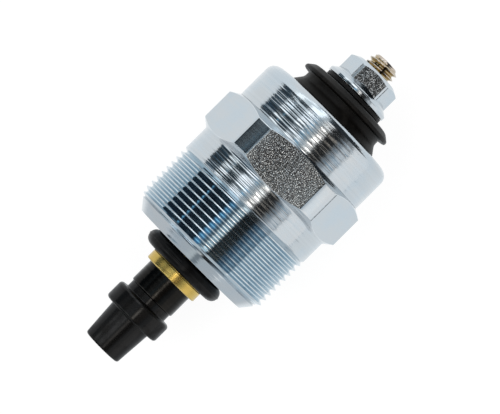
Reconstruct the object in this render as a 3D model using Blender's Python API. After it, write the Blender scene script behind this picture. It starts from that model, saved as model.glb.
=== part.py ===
"""Stop solenoid valve of a diesel injection pump, lying on one flat of its hexagon.

All sizes are in metres. Every piece is drawn round one turning axis, along local +Z
from the nose face (height 0) towards the terminal stud, and two empties then lay the
whole valve down, so that its axis runs along world X with the stud at +X.
"""

import math

import bmesh
import bpy
import numpy
from mathutils import Matrix, Vector

# Clearances
SEAT_GAP = 0.0001             # between two faces that rest on each other
FIT_GAP = 0.00005             # round a piece that is pressed, moulded or slipped into another
SLIDE_GAP = 0.00005           # round the sliding plunger

# Threaded steel housing, measured upwards from its nose face
THREAD_DIAMETER = 0.0239      # M24 x 1, at the crests
THREAD_PITCH = 0.0010
THREAD_DEPTH = 0.000613
THREAD_CREST_FLAT = 0.000125
NOSE_CHAMFER_WIDTH = 0.00198
NOSE_CHAMFER_HEIGHT = 0.00245
THREAD_LENGTH = 0.01135       # nose face to plain shoulder
SHOULDER_LENGTH = 0.00372
SHOULDER_RELIEF = 0.00012     # how far the shoulder is turned below the hexagon flats
HEX_ACROSS_FLATS = 0.0240
HEX_HEIGHT = 0.00693
HEX_CORNER_RISE = 0.00118     # turned corners above the flats
HEX_LOWER_CHAMFER = 0.00100
HEX_UPPER_CHAMFER = 0.00087
CROWN_LENGTH = 0.00674        # plain cylinder above the hexagon
CROWN_RELIEF = 0.00024
CROWN_EDGE_RADIUS = 0.0018
CROWN_WALL = 0.00166
LIP_THICKNESS = 0.0015        # the rim rolled in over the rubber cap's foot
LIP_OVERHANG = 0.0016
HOUSING_WALL = 0.0016         # between the thread's root and the coil chamber
NOSE_WALL = 0.0026
SEAT_LEDGE = 0.0005           # ledge that carries the flux plate

# Plunger: steel armature with a moulded valve tip
SHAFT_DIAMETER = 0.0078
SHAFT_REACH = 0.00375         # bare shaft between the guide tube and the tip
STROKE = 0.0030
SPRING_POCKET_DIAMETER = 0.0044
SPRING_POCKET_DEPTH = 0.0060
ARMATURE_EDGE = 0.0003
PIN_DIAMETER = 0.0036         # pin that the tip is moulded round
PIN_HEAD_DIAMETER = 0.0048
PIN_HEAD_THICKNESS = 0.0010
PIN_LENGTH = 0.0041
NECK_STEP = 0.00024
NECK_LENGTH = 0.0012
COLLAR_RISE = 0.00091
COLLAR_THICKNESS = 0.00308
COLLAR_UPPER_EDGE = 0.00055
COLLAR_LOWER_EDGE = 0.00045
CONE_STEP = 0.00036
CONE_TAPER = 0.00041
CONE_LENGTH = 0.00586
CONE_EDGE = 0.00035

# Brass guide tube and the sealing ring round it
TUBE_WALL = 0.00045
TUBE_FLANGE_STEP = 0.00022
TUBE_FLANGE_THICKNESS = 0.00155
TUBE_FLANGE_EDGE = 0.0002
NOSE_RING_SECTION = 0.0024

# Fixed pole core, its seal and its shim
CORE_LENGTH = 0.0120
CORE_RECESS_DEPTH = 0.0025
CORE_GROOVE_HEIGHT = 0.0040   # from the core's face to its seal groove
CORE_SEAL_SECTION = 0.0010
SHIM_THICKNESS = 0.0002

# Return spring
SPRING_WIRE = 0.00055
SPRING_PLAY = 0.0001
SPRING_TURNS = 7

# Coil
BOBBIN_WALL = 0.0007
BOBBIN_FLANGE = 0.0010
BOBBIN_PLAY = 0.0001
WINDING_INSET = 0.00035
WRAP_THICKNESS = 0.0002
LEAD_DIAMETER = 0.0007
LEAD_HOLE_PLAY = 0.0003

# Flux plate and the insulated terminal
FLUX_PLATE_THICKNESS = 0.0030
INSULATING_DISC_THICKNESS = 0.0005
BASE_RIM_WALL = 0.00035       # terminal base above and below its seal groove
COVER_SEAL_SECTION = 0.0010
LUG_THICKNESS = 0.0004
LUG_TAIL_WIDTH = 0.0020
STUD_DIAMETER = 0.0048        # M5 x 0.8, at the crests
STUD_PITCH = 0.0008
STUD_THREAD_DEPTH = 0.00049
STUD_CREST_FLAT = 0.0001
STUD_HEAD_RISE = 0.0012
STUD_HEAD_THICKNESS = 0.0010
STUD_THREAD_LENGTH = 0.0060   # from the tip down
STUD_TIP_CHAMFER = 0.00055
STUD_PROTRUSION = 0.0019      # above the nut

# Rubber cap, washer and nut
CAP_FOOT_THICKNESS = 0.0012
CAP_WAIST_RISE = 0.0003
CAP_GROOVE_DEPTH = 0.00135
CAP_NECK_LENGTH = 0.00104
CAP_FLANGE_OVERHANG = 0.00105
CAP_LIP_HEIGHT = 0.00050      # the flange's outer edge
CAP_LIP_EDGE = 0.00030
CAP_SLOPE_WIDTH = 0.00100     # steep outer slope above the lip
CAP_SLOPE_HEIGHT = 0.00080
CAP_SLOPE_EDGE = 0.00090
CAP_TOP_RISE = 0.00014        # from that slope to the flat seat
CAP_SEAT_DIAMETER = 0.0116    # flat under the washer
WASHER_DIAMETER = 0.0104
WASHER_THICKNESS = 0.00063
NUT_ACROSS_FLATS = 0.0080
NUT_HEIGHT = 0.00465
NUT_FLANGE_DIAMETER = 0.01076
NUT_FLANGE_RIM = 0.00057
NUT_FLANGE_SLOPE = math.radians(37.0)
NUT_FLANGE_SINK = 0.0004      # how far the flange's cone runs in under the flats
NUT_TOP_FACE_DIAMETER = 0.0068
NUT_TOP_SLOPE = math.radians(30.0)

# Fineness of the facets
LARGE_FACETS = 48
MEDIUM_FACETS = 30
SMALL_FACETS = 24
ROD_FACETS = 10
WIRE_FACETS = 6
ARC_STEPS = 2
SEAL_STEPS = 6
NOSE_RING_STEPS = 10
SPRING_STEPS = 10
MERGE_DISTANCE = 0.000002
EDGE_SHARE = 0.48             # most of a side that one rounded corner may take
CUT_MARGIN = 0.0005           # how far a cutter runs past what it cuts
SHARP_ANGLE = math.radians(32.0)

# Radii that follow from the sizes
APOTHEM = HEX_ACROSS_FLATS / 2
CREST_RADIUS = THREAD_DIAMETER / 2
ROOT_RADIUS = CREST_RADIUS - THREAD_DEPTH
NOSE_RADIUS = CREST_RADIUS - NOSE_CHAMFER_WIDTH
SHOULDER_RADIUS = APOTHEM - SHOULDER_RELIEF
CORNER_RADIUS = APOTHEM + HEX_CORNER_RISE
CROWN_RADIUS = APOTHEM - CROWN_RELIEF
COVER_BORE_RADIUS = CROWN_RADIUS - CROWN_WALL
LIP_RADIUS = COVER_BORE_RADIUS - LIP_OVERHANG
CHAMBER_RADIUS = min(ROOT_RADIUS - HOUSING_WALL, COVER_BORE_RADIUS - SEAT_LEDGE)
SHAFT_RADIUS = SHAFT_DIAMETER / 2
TUBE_BORE_RADIUS = SHAFT_RADIUS + SLIDE_GAP
TUBE_RADIUS = TUBE_BORE_RADIUS + TUBE_WALL
CORE_RADIUS = TUBE_BORE_RADIUS - FIT_GAP
SPRING_POCKET_RADIUS = SPRING_POCKET_DIAMETER / 2
BOBBIN_BORE_RADIUS = TUBE_RADIUS + FIT_GAP
BOBBIN_SLEEVE_RADIUS = BOBBIN_BORE_RADIUS + BOBBIN_WALL
BOBBIN_RADIUS = CHAMBER_RADIUS - BOBBIN_PLAY
WINDING_BORE_RADIUS = BOBBIN_SLEEVE_RADIUS + FIT_GAP
WINDING_RADIUS = BOBBIN_RADIUS - WINDING_INSET
LEAD_PLACE = (WINDING_BORE_RADIUS + WINDING_RADIUS) / 2
LEAD_HOLE_RADIUS = LEAD_DIAMETER / 2 + LEAD_HOLE_PLAY
STUD_RADIUS = STUD_DIAMETER / 2
STUD_ROOT_RADIUS = STUD_RADIUS - STUD_THREAD_DEPTH
STUD_HOLE_RADIUS = STUD_RADIUS + FIT_GAP
STUD_HEAD_RADIUS = STUD_RADIUS + STUD_HEAD_RISE
LUG_TAIL_REACH = LEAD_PLACE + LEAD_DIAMETER
POCKET_RADIUS = STUD_HEAD_RADIUS + FIT_GAP
BASE_RADIUS = COVER_BORE_RADIUS - FIT_GAP
CAP_WAIST_RADIUS = LIP_RADIUS - FIT_GAP
CAP_NECK_RADIUS = CAP_WAIST_RADIUS - CAP_GROOVE_DEPTH
CAP_FLANGE_RADIUS = CAP_NECK_RADIUS + CAP_FLANGE_OVERHANG

# Heights that follow from the sizes, the housing first
HEX_BASE = THREAD_LENGTH + SHOULDER_LENGTH
HEX_TOP = HEX_BASE + HEX_HEIGHT
CROWN_TOP = HEX_TOP + CROWN_LENGTH
LIP_UNDERSIDE = CROWN_TOP - LIP_THICKNESS
THREAD_START = NOSE_CHAMFER_HEIGHT * (NOSE_CHAMFER_WIDTH - THREAD_DEPTH) / NOSE_CHAMFER_WIDTH

# the stack under the rolled lip, downwards
FOOT_TOP = LIP_UNDERSIDE - SEAT_GAP
FOOT_BOTTOM = FOOT_TOP - CAP_FOOT_THICKNESS
BASE_TOP = FOOT_BOTTOM - SEAT_GAP
COVER_SEAL_CENTRE = BASE_TOP - BASE_RIM_WALL - FIT_GAP - COVER_SEAL_SECTION / 2
POCKET_CEILING = 2 * COVER_SEAL_CENTRE - BASE_TOP
LUG_TOP = POCKET_CEILING - SEAT_GAP
LUG_BOTTOM = LUG_TOP - LUG_THICKNESS
STUD_HEAD_TOP = LUG_BOTTOM - SEAT_GAP
STUD_HEAD_BOTTOM = STUD_HEAD_TOP - STUD_HEAD_THICKNESS
BASE_BOTTOM = STUD_HEAD_BOTTOM - SEAT_GAP
DISC_TOP = BASE_BOTTOM - SEAT_GAP
DISC_BOTTOM = DISC_TOP - INSULATING_DISC_THICKNESS
PLATE_TOP = DISC_BOTTOM - SEAT_GAP
PLATE_BOTTOM = PLATE_TOP - FLUX_PLATE_THICKNESS
LEDGE_HEIGHT = PLATE_BOTTOM - SEAT_GAP
BOBBIN_TOP = PLATE_BOTTOM - SEAT_GAP
BOBBIN_BOTTOM = NOSE_WALL + SEAT_GAP
WINDING_TOP = BOBBIN_TOP - BOBBIN_FLANGE - FIT_GAP
WINDING_BOTTOM = BOBBIN_BOTTOM + BOBBIN_FLANGE + FIT_GAP

# the magnet's core and the plunger, downwards
CORE_FACE = PLATE_TOP - CORE_LENGTH
SHIM_TOP = CORE_FACE - SEAT_GAP
SHIM_BOTTOM = SHIM_TOP - SHIM_THICKNESS
ARMATURE_TOP = SHIM_BOTTOM - SEAT_GAP - STROKE
SPRING_POCKET_FLOOR = ARMATURE_TOP - SPRING_POCKET_DEPTH
CORE_RECESS_TOP = CORE_FACE + CORE_RECESS_DEPTH
NOSE_RING_CENTRE = -(SEAT_GAP + NOSE_RING_SECTION / 2)
TUBE_FLANGE_TOP = -(NOSE_RING_SECTION + 2 * SEAT_GAP)
TUBE_END = TUBE_FLANGE_TOP - TUBE_FLANGE_THICKNESS
ARMATURE_END = TUBE_END - SHAFT_REACH
TIP_TOP = ARMATURE_END - FIT_GAP
COLLAR_TOP = TIP_TOP - NECK_LENGTH
COLLAR_BOTTOM = COLLAR_TOP - COLLAR_THICKNESS
TIP_END = COLLAR_BOTTOM - CONE_LENGTH

# the terminal above the housing, upwards
CAP_GROOVE_BOTTOM = CROWN_TOP + CAP_WAIST_RISE
CAP_NECK_BOTTOM = CAP_GROOVE_BOTTOM + CAP_GROOVE_DEPTH
CAP_FLANGE_BOTTOM = CAP_NECK_BOTTOM + CAP_NECK_LENGTH
CAP_LIP_TOP = CAP_FLANGE_BOTTOM + CAP_LIP_HEIGHT
CAP_SLOPE_TOP = CAP_LIP_TOP + CAP_SLOPE_HEIGHT
CAP_TOP = CAP_SLOPE_TOP + CAP_TOP_RISE
WASHER_BOTTOM = CAP_TOP + SEAT_GAP
WASHER_TOP = WASHER_BOTTOM + WASHER_THICKNESS
NUT_BOTTOM = WASHER_TOP + SEAT_GAP
NUT_TOP = NUT_BOTTOM + NUT_HEIGHT
STUD_TOP = NUT_TOP + STUD_PROTRUSION

# Where the axis lies: half way along at x = 0, one hexagon flat on z = 0
AXIS_START = (-(STUD_TOP + TIP_END) / 2, 0.0, APOTHEM)

# Finishes: base colour, roughness, metallic
FINISHES = {
    "zinc_plated_steel": ((0.62, 0.64, 0.66, 1.0), 0.32, 1.0),
    "nickel_plated_steel": ((0.70, 0.67, 0.60, 1.0), 0.25, 1.0),
    "blackened_steel": ((0.030, 0.028, 0.027, 1.0), 0.40, 0.6),
    "soft_magnet_steel": ((0.45, 0.45, 0.46, 1.0), 0.40, 1.0),
    "spring_steel": ((0.50, 0.50, 0.52, 1.0), 0.30, 1.0),
    "brass": ((0.70, 0.50, 0.22, 1.0), 0.30, 1.0),
    "copper_wire": ((0.60, 0.25, 0.12, 1.0), 0.35, 1.0),
    "copper_strip": ((0.75, 0.42, 0.25, 1.0), 0.30, 1.0),
    "black_rubber": ((0.012, 0.012, 0.013, 1.0), 0.60, 0.0),
    "seal_rubber": ((0.018, 0.018, 0.018, 1.0), 0.50, 0.0),
    "valve_rubber": ((0.016, 0.014, 0.013, 1.0), 0.45, 0.0),
    "black_laminate": ((0.020, 0.020, 0.021, 1.0), 0.50, 0.0),
    "bobbin_nylon": ((0.75, 0.72, 0.62, 1.0), 0.50, 0.0),
    "wrap_film": ((0.60, 0.45, 0.12, 1.0), 0.40, 0.0),
    "base_resin": ((0.10, 0.06, 0.04, 1.0), 0.50, 0.0),
    "shim_bronze": ((0.55, 0.38, 0.20, 1.0), 0.35, 1.0),
}


def clear_scene():
    """Remove every object, so that only the valve is left."""
    for item in list(bpy.data.objects):
        bpy.data.objects.remove(item, do_unlink=True)


def finish(name):
    """Return the named finish as a material, made at its first use."""
    material = bpy.data.materials.get(name)
    if material is None:
        colour, roughness, metallic = FINISHES[name]
        material = bpy.data.materials.new(name)
        material.use_nodes = True
        shader = material.node_tree.nodes["Principled BSDF"]
        shader.inputs["Base Color"].default_value = colour
        shader.inputs["Roughness"].default_value = roughness
        shader.inputs["Metallic"].default_value = metallic
        material.diffuse_color = colour
    return material


def empty(name, location, turn=(0.0, 0.0, 0.0), parent=None):
    """Add an empty that carries the pieces of one body."""
    holder = bpy.data.objects.new(name, None)
    bpy.context.collection.objects.link(holder)
    holder.location = location
    holder.rotation_euler = turn
    holder.parent = parent
    return holder


def place(name, mesh_tool, parent, material=None):
    """Turn a bmesh into an object under its parent; with no material it is a cutter."""
    bmesh.ops.remove_doubles(mesh_tool, verts=mesh_tool.verts, dist=MERGE_DISTANCE)
    bmesh.ops.recalc_face_normals(mesh_tool, faces=mesh_tool.faces)
    mesh = bpy.data.meshes.new(name)
    mesh_tool.to_mesh(mesh)
    mesh_tool.free()
    item = bpy.data.objects.new(name, mesh)
    bpy.context.collection.objects.link(item)
    item.parent = parent
    if material is None:
        item.hide_render = True
        item.display_type = "WIRE"
    else:
        mesh.materials.append(finish(material))
        mesh.shade_smooth()
        mesh.set_sharp_from_angle(angle=SHARP_ANGLE)
    return item


def combine(item, tool, operation):
    """Put a Boolean modifier on a piece: DIFFERENCE, UNION or INTERSECT with the tool."""
    modifier = item.modifiers.new(tool.name, "BOOLEAN")
    modifier.operation = operation
    modifier.solver = "EXACT"
    modifier.object = tool


def rounded(points, closed):
    """Return an outline whose corners are rounded where a point has a third value.

    A point is (radius, height) or (radius, height, edge radius). An edge radius is
    limited by the shorter of the two sides that meet at its corner.
    """
    outline = []
    count = len(points)
    for index, point in enumerate(points):
        corner = Vector(point[:2])
        is_end = not closed and index in (0, count - 1)
        if len(point) == 2 or is_end:
            outline.append(corner)
            continue
        back = Vector(points[index - 1][:2]) - corner
        ahead = Vector(points[(index + 1) % count][:2]) - corner
        half_turn = back.angle(ahead) / 2
        longest = EDGE_SHARE * min(back.length, ahead.length)
        reach = min(point[2] / math.tan(half_turn), longest)
        radius = reach * math.tan(half_turn)
        middle = (back.normalized() + ahead.normalized()).normalized()
        centre = corner + middle * (radius / math.sin(half_turn))
        first = corner + back.normalized() * reach - centre
        last = corner + ahead.normalized() * reach - centre
        sweep = math.pi - 2 * half_turn
        for step in range(ARC_STEPS + 1):
            share = step / ARC_STEPS
            start_part = math.sin((1 - share) * sweep) / math.sin(sweep)
            end_part = math.sin(share * sweep) / math.sin(sweep)
            outline.append(centre + first * start_part + last * end_part)
    return outline


def spin_outline(mesh_tool, outline, facets, closed):
    """Spin an outline of (radius, height) points once round the axis."""
    corners = [mesh_tool.verts.new((point[0], 0.0, point[1])) for point in outline]
    pairs = list(zip(corners, corners[1:]))
    if closed:
        pairs.append((corners[-1], corners[0]))
    sides = [mesh_tool.edges.new(pair) for pair in pairs]
    bmesh.ops.spin(
        mesh_tool,
        geom=corners + sides,
        cent=(0.0, 0.0, 0.0),
        axis=(0.0, 0.0, 1.0),
        angle=2 * math.pi,
        steps=facets,
        use_merge=True,
    )


def turned(name, points, facets, parent, material=None, closed=True):
    """Make a turned piece: a closed ring outline, or an open one from axis to axis."""
    mesh_tool = bmesh.new()
    spin_outline(mesh_tool, rounded(points, closed), facets, closed)
    return place(name, mesh_tool, parent, material)


def seal_ring(name, section, centre_radius, centre_height, steps, parent):
    """Make a rubber ring of round section, with the given facets round its section."""
    outline = []
    for step in range(steps):
        angle = 2 * math.pi * step / steps
        outline.append(
            (
                centre_radius + section / 2 * math.cos(angle),
                centre_height + section / 2 * math.sin(angle),
            )
        )
    return turned(name, outline, MEDIUM_FACETS, parent, "seal_rubber")


def add_thread(mesh_tool, thread, start, end, facets):
    """Add a right-hand thread between two plain rings of the same facets.

    thread is (crest radius, depth, pitch, crest flat); start and end are (height,
    radius of the plain ring, length over which the thread fades into it). Three rows
    of points a turn, both edges of the crest and the root, climb one pitch in one
    turn. Rows that would run past an end are held on its plain ring, where they merge.
    """
    crest_radius, depth, pitch, crest_flat = thread
    start_height, start_radius, start_fade = start
    end_height, end_radius, end_fade = end
    row_radii = numpy.array((crest_radius, crest_radius, crest_radius - depth))
    row_rises = numpy.array((0.0, crest_flat, (pitch + crest_flat) / 2))
    row_kinds = len(row_radii)
    turns = math.ceil((end_height - start_height) / pitch) + row_kinds
    rows = numpy.arange(row_kinds * turns)
    columns = numpy.arange(facets)
    row_heights = start_height + (rows // row_kinds - 1) * pitch + row_rises[rows % row_kinds]
    heights = row_heights[:, None] + pitch * columns[None, :] / facets
    heights = numpy.clip(heights, start_height, end_height)
    fade_in = numpy.clip((heights - start_height) / start_fade, 0.0, 1.0)
    fade_out = numpy.clip((end_height - heights) / end_fade, 0.0, 1.0)
    radii = start_radius + (row_radii[rows % row_kinds][:, None] - start_radius) * fade_in
    radii = end_radius + (radii - end_radius) * fade_out
    angles = 2 * math.pi * columns / facets
    across = radii * numpy.cos(angles)[None, :]
    along = radii * numpy.sin(angles)[None, :]
    grid = [
        [
            mesh_tool.verts.new((across[row, column], along[row, column], heights[row, column]))
            for column in range(facets)
        ]
        for row in range(len(rows))
    ]
    last_row = len(rows) - 1
    for column in range(facets):
        following = (column + 1) % facets
        climb = row_kinds if following == 0 else 0
        for row in range(last_row):
            low = min(row + climb, last_row)
            high = min(row + 1 + climb, last_row)
            corners = [grid[row][column], grid[low][following]]
            if high != low:
                corners.append(grid[high][following])
            corners.append(grid[row + 1][column])
            mesh_tool.faces.new(corners)


def hexagon_prism(name, across_flats, bottom, top, parent, material=None):
    """Make a hexagonal prism with two of its flats square to local X."""
    mesh_tool = bmesh.new()
    add_hexagon(mesh_tool, across_flats, bottom, top)
    return place(name, mesh_tool, parent, material)


def add_hexagon(mesh_tool, across_flats, bottom, top):
    """Add a closed hexagonal prism to a bmesh."""
    corner_radius = across_flats / math.sqrt(3)
    ring = [
        mesh_tool.verts.new(
            (
                corner_radius * math.cos(math.radians(30 + 60 * corner)),
                corner_radius * math.sin(math.radians(30 + 60 * corner)),
                bottom,
            )
        )
        for corner in range(6)
    ]
    base = mesh_tool.faces.new(ring)
    lifted = bmesh.ops.extrude_face_region(mesh_tool, geom=[base])
    upper = [part for part in lifted["geom"] if isinstance(part, bmesh.types.BMVert)]
    bmesh.ops.translate(mesh_tool, verts=upper, vec=(0.0, 0.0, top - bottom))


def flats_cutter(name, across_flats, outer_radius, bottom, top, parent):
    """Make the ring that mills six flats: a hexagonal hole in a larger hexagonal prism."""
    mesh_tool = bmesh.new()
    rings = []
    for apothem in (across_flats / 2, outer_radius):
        corner_radius = apothem / math.cos(math.radians(30))
        for height in (bottom, top):
            rings.append(
                [
                    mesh_tool.verts.new(
                        (
                            corner_radius * math.cos(math.radians(30 + 60 * corner)),
                            corner_radius * math.sin(math.radians(30 + 60 * corner)),
                            height,
                        )
                    )
                    for corner in range(6)
                ]
            )
    inner_low, inner_high, outer_low, outer_high = rings
    for low, high in (
        (inner_low, inner_high),
        (inner_high, outer_high),
        (outer_high, outer_low),
        (outer_low, inner_low),
    ):
        for corner in range(6):
            other = (corner + 1) % 6
            mesh_tool.faces.new((low[corner], low[other], high[other], high[corner]))
    return place(name, mesh_tool, parent)


def block(name, corner_low, corner_high, parent, material=None):
    """Make a rectangular block between two opposite corners."""
    mesh_tool = bmesh.new()
    low = Vector(corner_low)
    high = Vector(corner_high)
    bmesh.ops.create_cube(mesh_tool, size=1.0)
    bmesh.ops.scale(mesh_tool, verts=mesh_tool.verts, vec=high - low)
    bmesh.ops.translate(mesh_tool, verts=mesh_tool.verts, vec=(low + high) / 2)
    return place(name, mesh_tool, parent, material)


def rod(name, radius, at_x, bottom, top, parent, material=None):
    """Make a short round rod beside the axis, at a distance along local X.

    It is turned by half a facet, so that none of its corners lies on an edge of a
    piece that it cuts.
    """
    mesh_tool = bmesh.new()
    outline = [(0.0, bottom), (radius, bottom), (radius, top), (0.0, top)]
    spin_outline(mesh_tool, outline, ROD_FACETS, closed=False)
    half_facet = Matrix.Rotation(math.pi / ROD_FACETS, 3, "Z")
    bmesh.ops.rotate(mesh_tool, verts=mesh_tool.verts, matrix=half_facet)
    bmesh.ops.translate(mesh_tool, verts=mesh_tool.verts, vec=(at_x, 0.0, 0.0))
    return place(name, mesh_tool, parent, material)


def make_housing(parent):
    """Threaded housing: nose, thread, shoulder, hexagon, crown and rolled lip in one piece."""
    nose_bore = TUBE_RADIUS + FIT_GAP
    outline = rounded(
        [
            (ROOT_RADIUS, THREAD_START),
            (NOSE_RADIUS, 0.0),
            (nose_bore, 0.0),
            (nose_bore, NOSE_WALL),
            (CHAMBER_RADIUS, NOSE_WALL),
            (CHAMBER_RADIUS, LEDGE_HEIGHT),
            (COVER_BORE_RADIUS, LEDGE_HEIGHT),
            (COVER_BORE_RADIUS, LIP_UNDERSIDE),
            (LIP_RADIUS, LIP_UNDERSIDE),
            (LIP_RADIUS, CROWN_TOP),
            (CROWN_RADIUS, CROWN_TOP, CROWN_EDGE_RADIUS),
            (CROWN_RADIUS, HEX_TOP),
            (CORNER_RADIUS, HEX_TOP - HEX_UPPER_CHAMFER),
            (CORNER_RADIUS, HEX_BASE + HEX_LOWER_CHAMFER),
            (SHOULDER_RADIUS, HEX_BASE),
            (SHOULDER_RADIUS, THREAD_LENGTH),
        ],
        closed=False,
    )
    mesh_tool = bmesh.new()
    spin_outline(mesh_tool, outline, LARGE_FACETS, closed=False)
    crest_rise = NOSE_CHAMFER_HEIGHT * THREAD_DEPTH / NOSE_CHAMFER_WIDTH
    add_thread(
        mesh_tool,
        (CREST_RADIUS, THREAD_DEPTH, THREAD_PITCH, THREAD_CREST_FLAT),
        (THREAD_START, ROOT_RADIUS, crest_rise),
        (THREAD_LENGTH, SHOULDER_RADIUS, THREAD_PITCH),
        LARGE_FACETS,
    )
    housing = place("housing", mesh_tool, parent, "zinc_plated_steel")
    flats = flats_cutter(
        "hexagon_cutter",
        HEX_ACROSS_FLATS,
        CORNER_RADIUS + CUT_MARGIN,
        HEX_BASE - CUT_MARGIN,
        HEX_TOP + CUT_MARGIN,
        parent,
    )
    combine(housing, flats, "DIFFERENCE")


def make_guide_tube(parent):
    """Thin brass tube that guides the plunger, with the small end flange that shows."""
    flange_radius = TUBE_RADIUS + TUBE_FLANGE_STEP
    turned(
        "guide_tube",
        [
            (TUBE_BORE_RADIUS, TUBE_END),
            (flange_radius, TUBE_END, TUBE_FLANGE_EDGE),
            (flange_radius, TUBE_FLANGE_TOP),
            (TUBE_RADIUS, TUBE_FLANGE_TOP),
            (TUBE_RADIUS, BOBBIN_TOP),
            (TUBE_BORE_RADIUS, BOBBIN_TOP),
        ],
        MEDIUM_FACETS,
        parent,
        "brass",
    )


def make_nose_seal(parent):
    """Rubber ring on the guide tube, between its flange and the nose face."""
    seal_ring(
        "nose_seal",
        NOSE_RING_SECTION,
        TUBE_RADIUS + FIT_GAP + NOSE_RING_SECTION / 2,
        NOSE_RING_CENTRE,
        NOSE_RING_STEPS,
        parent,
    )


def make_pole_core(parent):
    """Fixed core in the top of the tube, with its spring recess, seal groove, seal and shim."""
    groove_radius = CORE_RADIUS - CORE_SEAL_SECTION - FIT_GAP
    groove_bottom = CORE_FACE + CORE_GROOVE_HEIGHT
    groove_top = groove_bottom + CORE_SEAL_SECTION + 2 * FIT_GAP
    turned(
        "pole_core",
        [
            (0.0, CORE_RECESS_TOP),
            (SPRING_POCKET_RADIUS, CORE_RECESS_TOP),
            (SPRING_POCKET_RADIUS, CORE_FACE),
            (CORE_RADIUS, CORE_FACE),
            (CORE_RADIUS, groove_bottom),
            (groove_radius, groove_bottom),
            (groove_radius, groove_top),
            (CORE_RADIUS, groove_top),
            (CORE_RADIUS, PLATE_TOP),
            (0.0, PLATE_TOP),
        ],
        MEDIUM_FACETS,
        parent,
        "soft_magnet_steel",
        closed=False,
    )
    seal_ring(
        "core_seal",
        CORE_SEAL_SECTION,
        CORE_RADIUS - CORE_SEAL_SECTION / 2,
        (groove_bottom + groove_top) / 2,
        SEAL_STEPS,
        parent,
    )
    turned(
        "core_shim",
        [
            (SPRING_POCKET_RADIUS, SHIM_BOTTOM),
            (CORE_RADIUS, SHIM_BOTTOM),
            (CORE_RADIUS, SHIM_TOP),
            (SPRING_POCKET_RADIUS, SHIM_TOP),
        ],
        MEDIUM_FACETS,
        parent,
        "shim_bronze",
    )


def make_flux_plate(parent):
    """Steel plate that closes the magnet's circuit, with the two holes for the coil's ends."""
    plate = turned(
        "flux_plate",
        [
            (CORE_RADIUS + FIT_GAP, PLATE_BOTTOM),
            (BASE_RADIUS, PLATE_BOTTOM),
            (BASE_RADIUS, PLATE_TOP),
            (CORE_RADIUS + FIT_GAP, PLATE_TOP),
        ],
        MEDIUM_FACETS,
        parent,
        "soft_magnet_steel",
    )
    for side, at_x in (("live", LEAD_PLACE), ("ground", -LEAD_PLACE)):
        hole = rod(
            side + "_lead_hole_cutter",
            LEAD_HOLE_RADIUS,
            at_x,
            PLATE_BOTTOM - CUT_MARGIN,
            PLATE_TOP + CUT_MARGIN,
            parent,
        )
        combine(plate, hole, "DIFFERENCE")


def make_bobbin(parent):
    """Coil former with two flanges; the upper one is slotted for the coil's ends."""
    lower = BOBBIN_BOTTOM + BOBBIN_FLANGE
    upper = BOBBIN_TOP - BOBBIN_FLANGE
    bobbin = turned(
        "coil_bobbin",
        [
            (BOBBIN_BORE_RADIUS, BOBBIN_BOTTOM),
            (BOBBIN_RADIUS, BOBBIN_BOTTOM),
            (BOBBIN_RADIUS, lower),
            (BOBBIN_SLEEVE_RADIUS, lower),
            (BOBBIN_SLEEVE_RADIUS, upper),
            (BOBBIN_RADIUS, upper),
            (BOBBIN_RADIUS, BOBBIN_TOP),
            (BOBBIN_BORE_RADIUS, BOBBIN_TOP),
        ],
        MEDIUM_FACETS,
        parent,
        "bobbin_nylon",
    )
    for side, direction in (("live", 1), ("ground", -1)):
        near = direction * (LEAD_PLACE - LEAD_HOLE_RADIUS)
        far = direction * (BOBBIN_RADIUS + BOBBIN_PLAY)
        slot = block(
            side + "_slot_cutter",
            (min(near, far), -LEAD_HOLE_RADIUS, upper - CUT_MARGIN),
            (max(near, far), LEAD_HOLE_RADIUS, BOBBIN_TOP + CUT_MARGIN),
            parent,
        )
        combine(bobbin, slot, "DIFFERENCE")


def make_winding(parent):
    """Wound copper wire between the bobbin's flanges, and the film wrapped round it."""
    turned(
        "coil_winding",
        [
            (WINDING_BORE_RADIUS, WINDING_BOTTOM),
            (WINDING_RADIUS, WINDING_BOTTOM),
            (WINDING_RADIUS, WINDING_TOP),
            (WINDING_BORE_RADIUS, WINDING_TOP),
        ],
        MEDIUM_FACETS,
        parent,
        "copper_wire",
    )
    turned(
        "coil_wrap",
        [
            (WINDING_RADIUS + FIT_GAP, WINDING_BOTTOM),
            (WINDING_RADIUS + FIT_GAP + WRAP_THICKNESS, WINDING_BOTTOM),
            (WINDING_RADIUS + FIT_GAP + WRAP_THICKNESS, WINDING_TOP),
            (WINDING_RADIUS + FIT_GAP, WINDING_TOP),
        ],
        MEDIUM_FACETS,
        parent,
        "wrap_film",
    )


def make_leads(parent):
    """The coil's two ends: one up to the terminal's lug, one soldered into the flux plate."""
    radius = LEAD_DIAMETER / 2
    bottom = WINDING_TOP + FIT_GAP
    rod("live_lead", radius, LEAD_PLACE, bottom, LUG_BOTTOM - FIT_GAP, parent, "copper_wire")
    rod(
        "ground_lead",
        radius,
        -LEAD_PLACE,
        bottom,
        (PLATE_BOTTOM + PLATE_TOP) / 2,
        parent,
        "copper_wire",
    )


def make_insulating_disc(parent):
    """Thin disc that keeps the stud's head off the flux plate."""
    disc = turned(
        "insulating_disc",
        [(0.0, DISC_BOTTOM), (BASE_RADIUS, DISC_BOTTOM), (BASE_RADIUS, DISC_TOP), (0.0, DISC_TOP)],
        MEDIUM_FACETS,
        parent,
        "black_laminate",
        closed=False,
    )
    hole = rod(
        "disc_hole_cutter",
        LEAD_HOLE_RADIUS,
        LEAD_PLACE,
        DISC_BOTTOM - CUT_MARGIN,
        DISC_TOP + CUT_MARGIN,
        parent,
    )
    combine(disc, hole, "DIFFERENCE")


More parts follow.
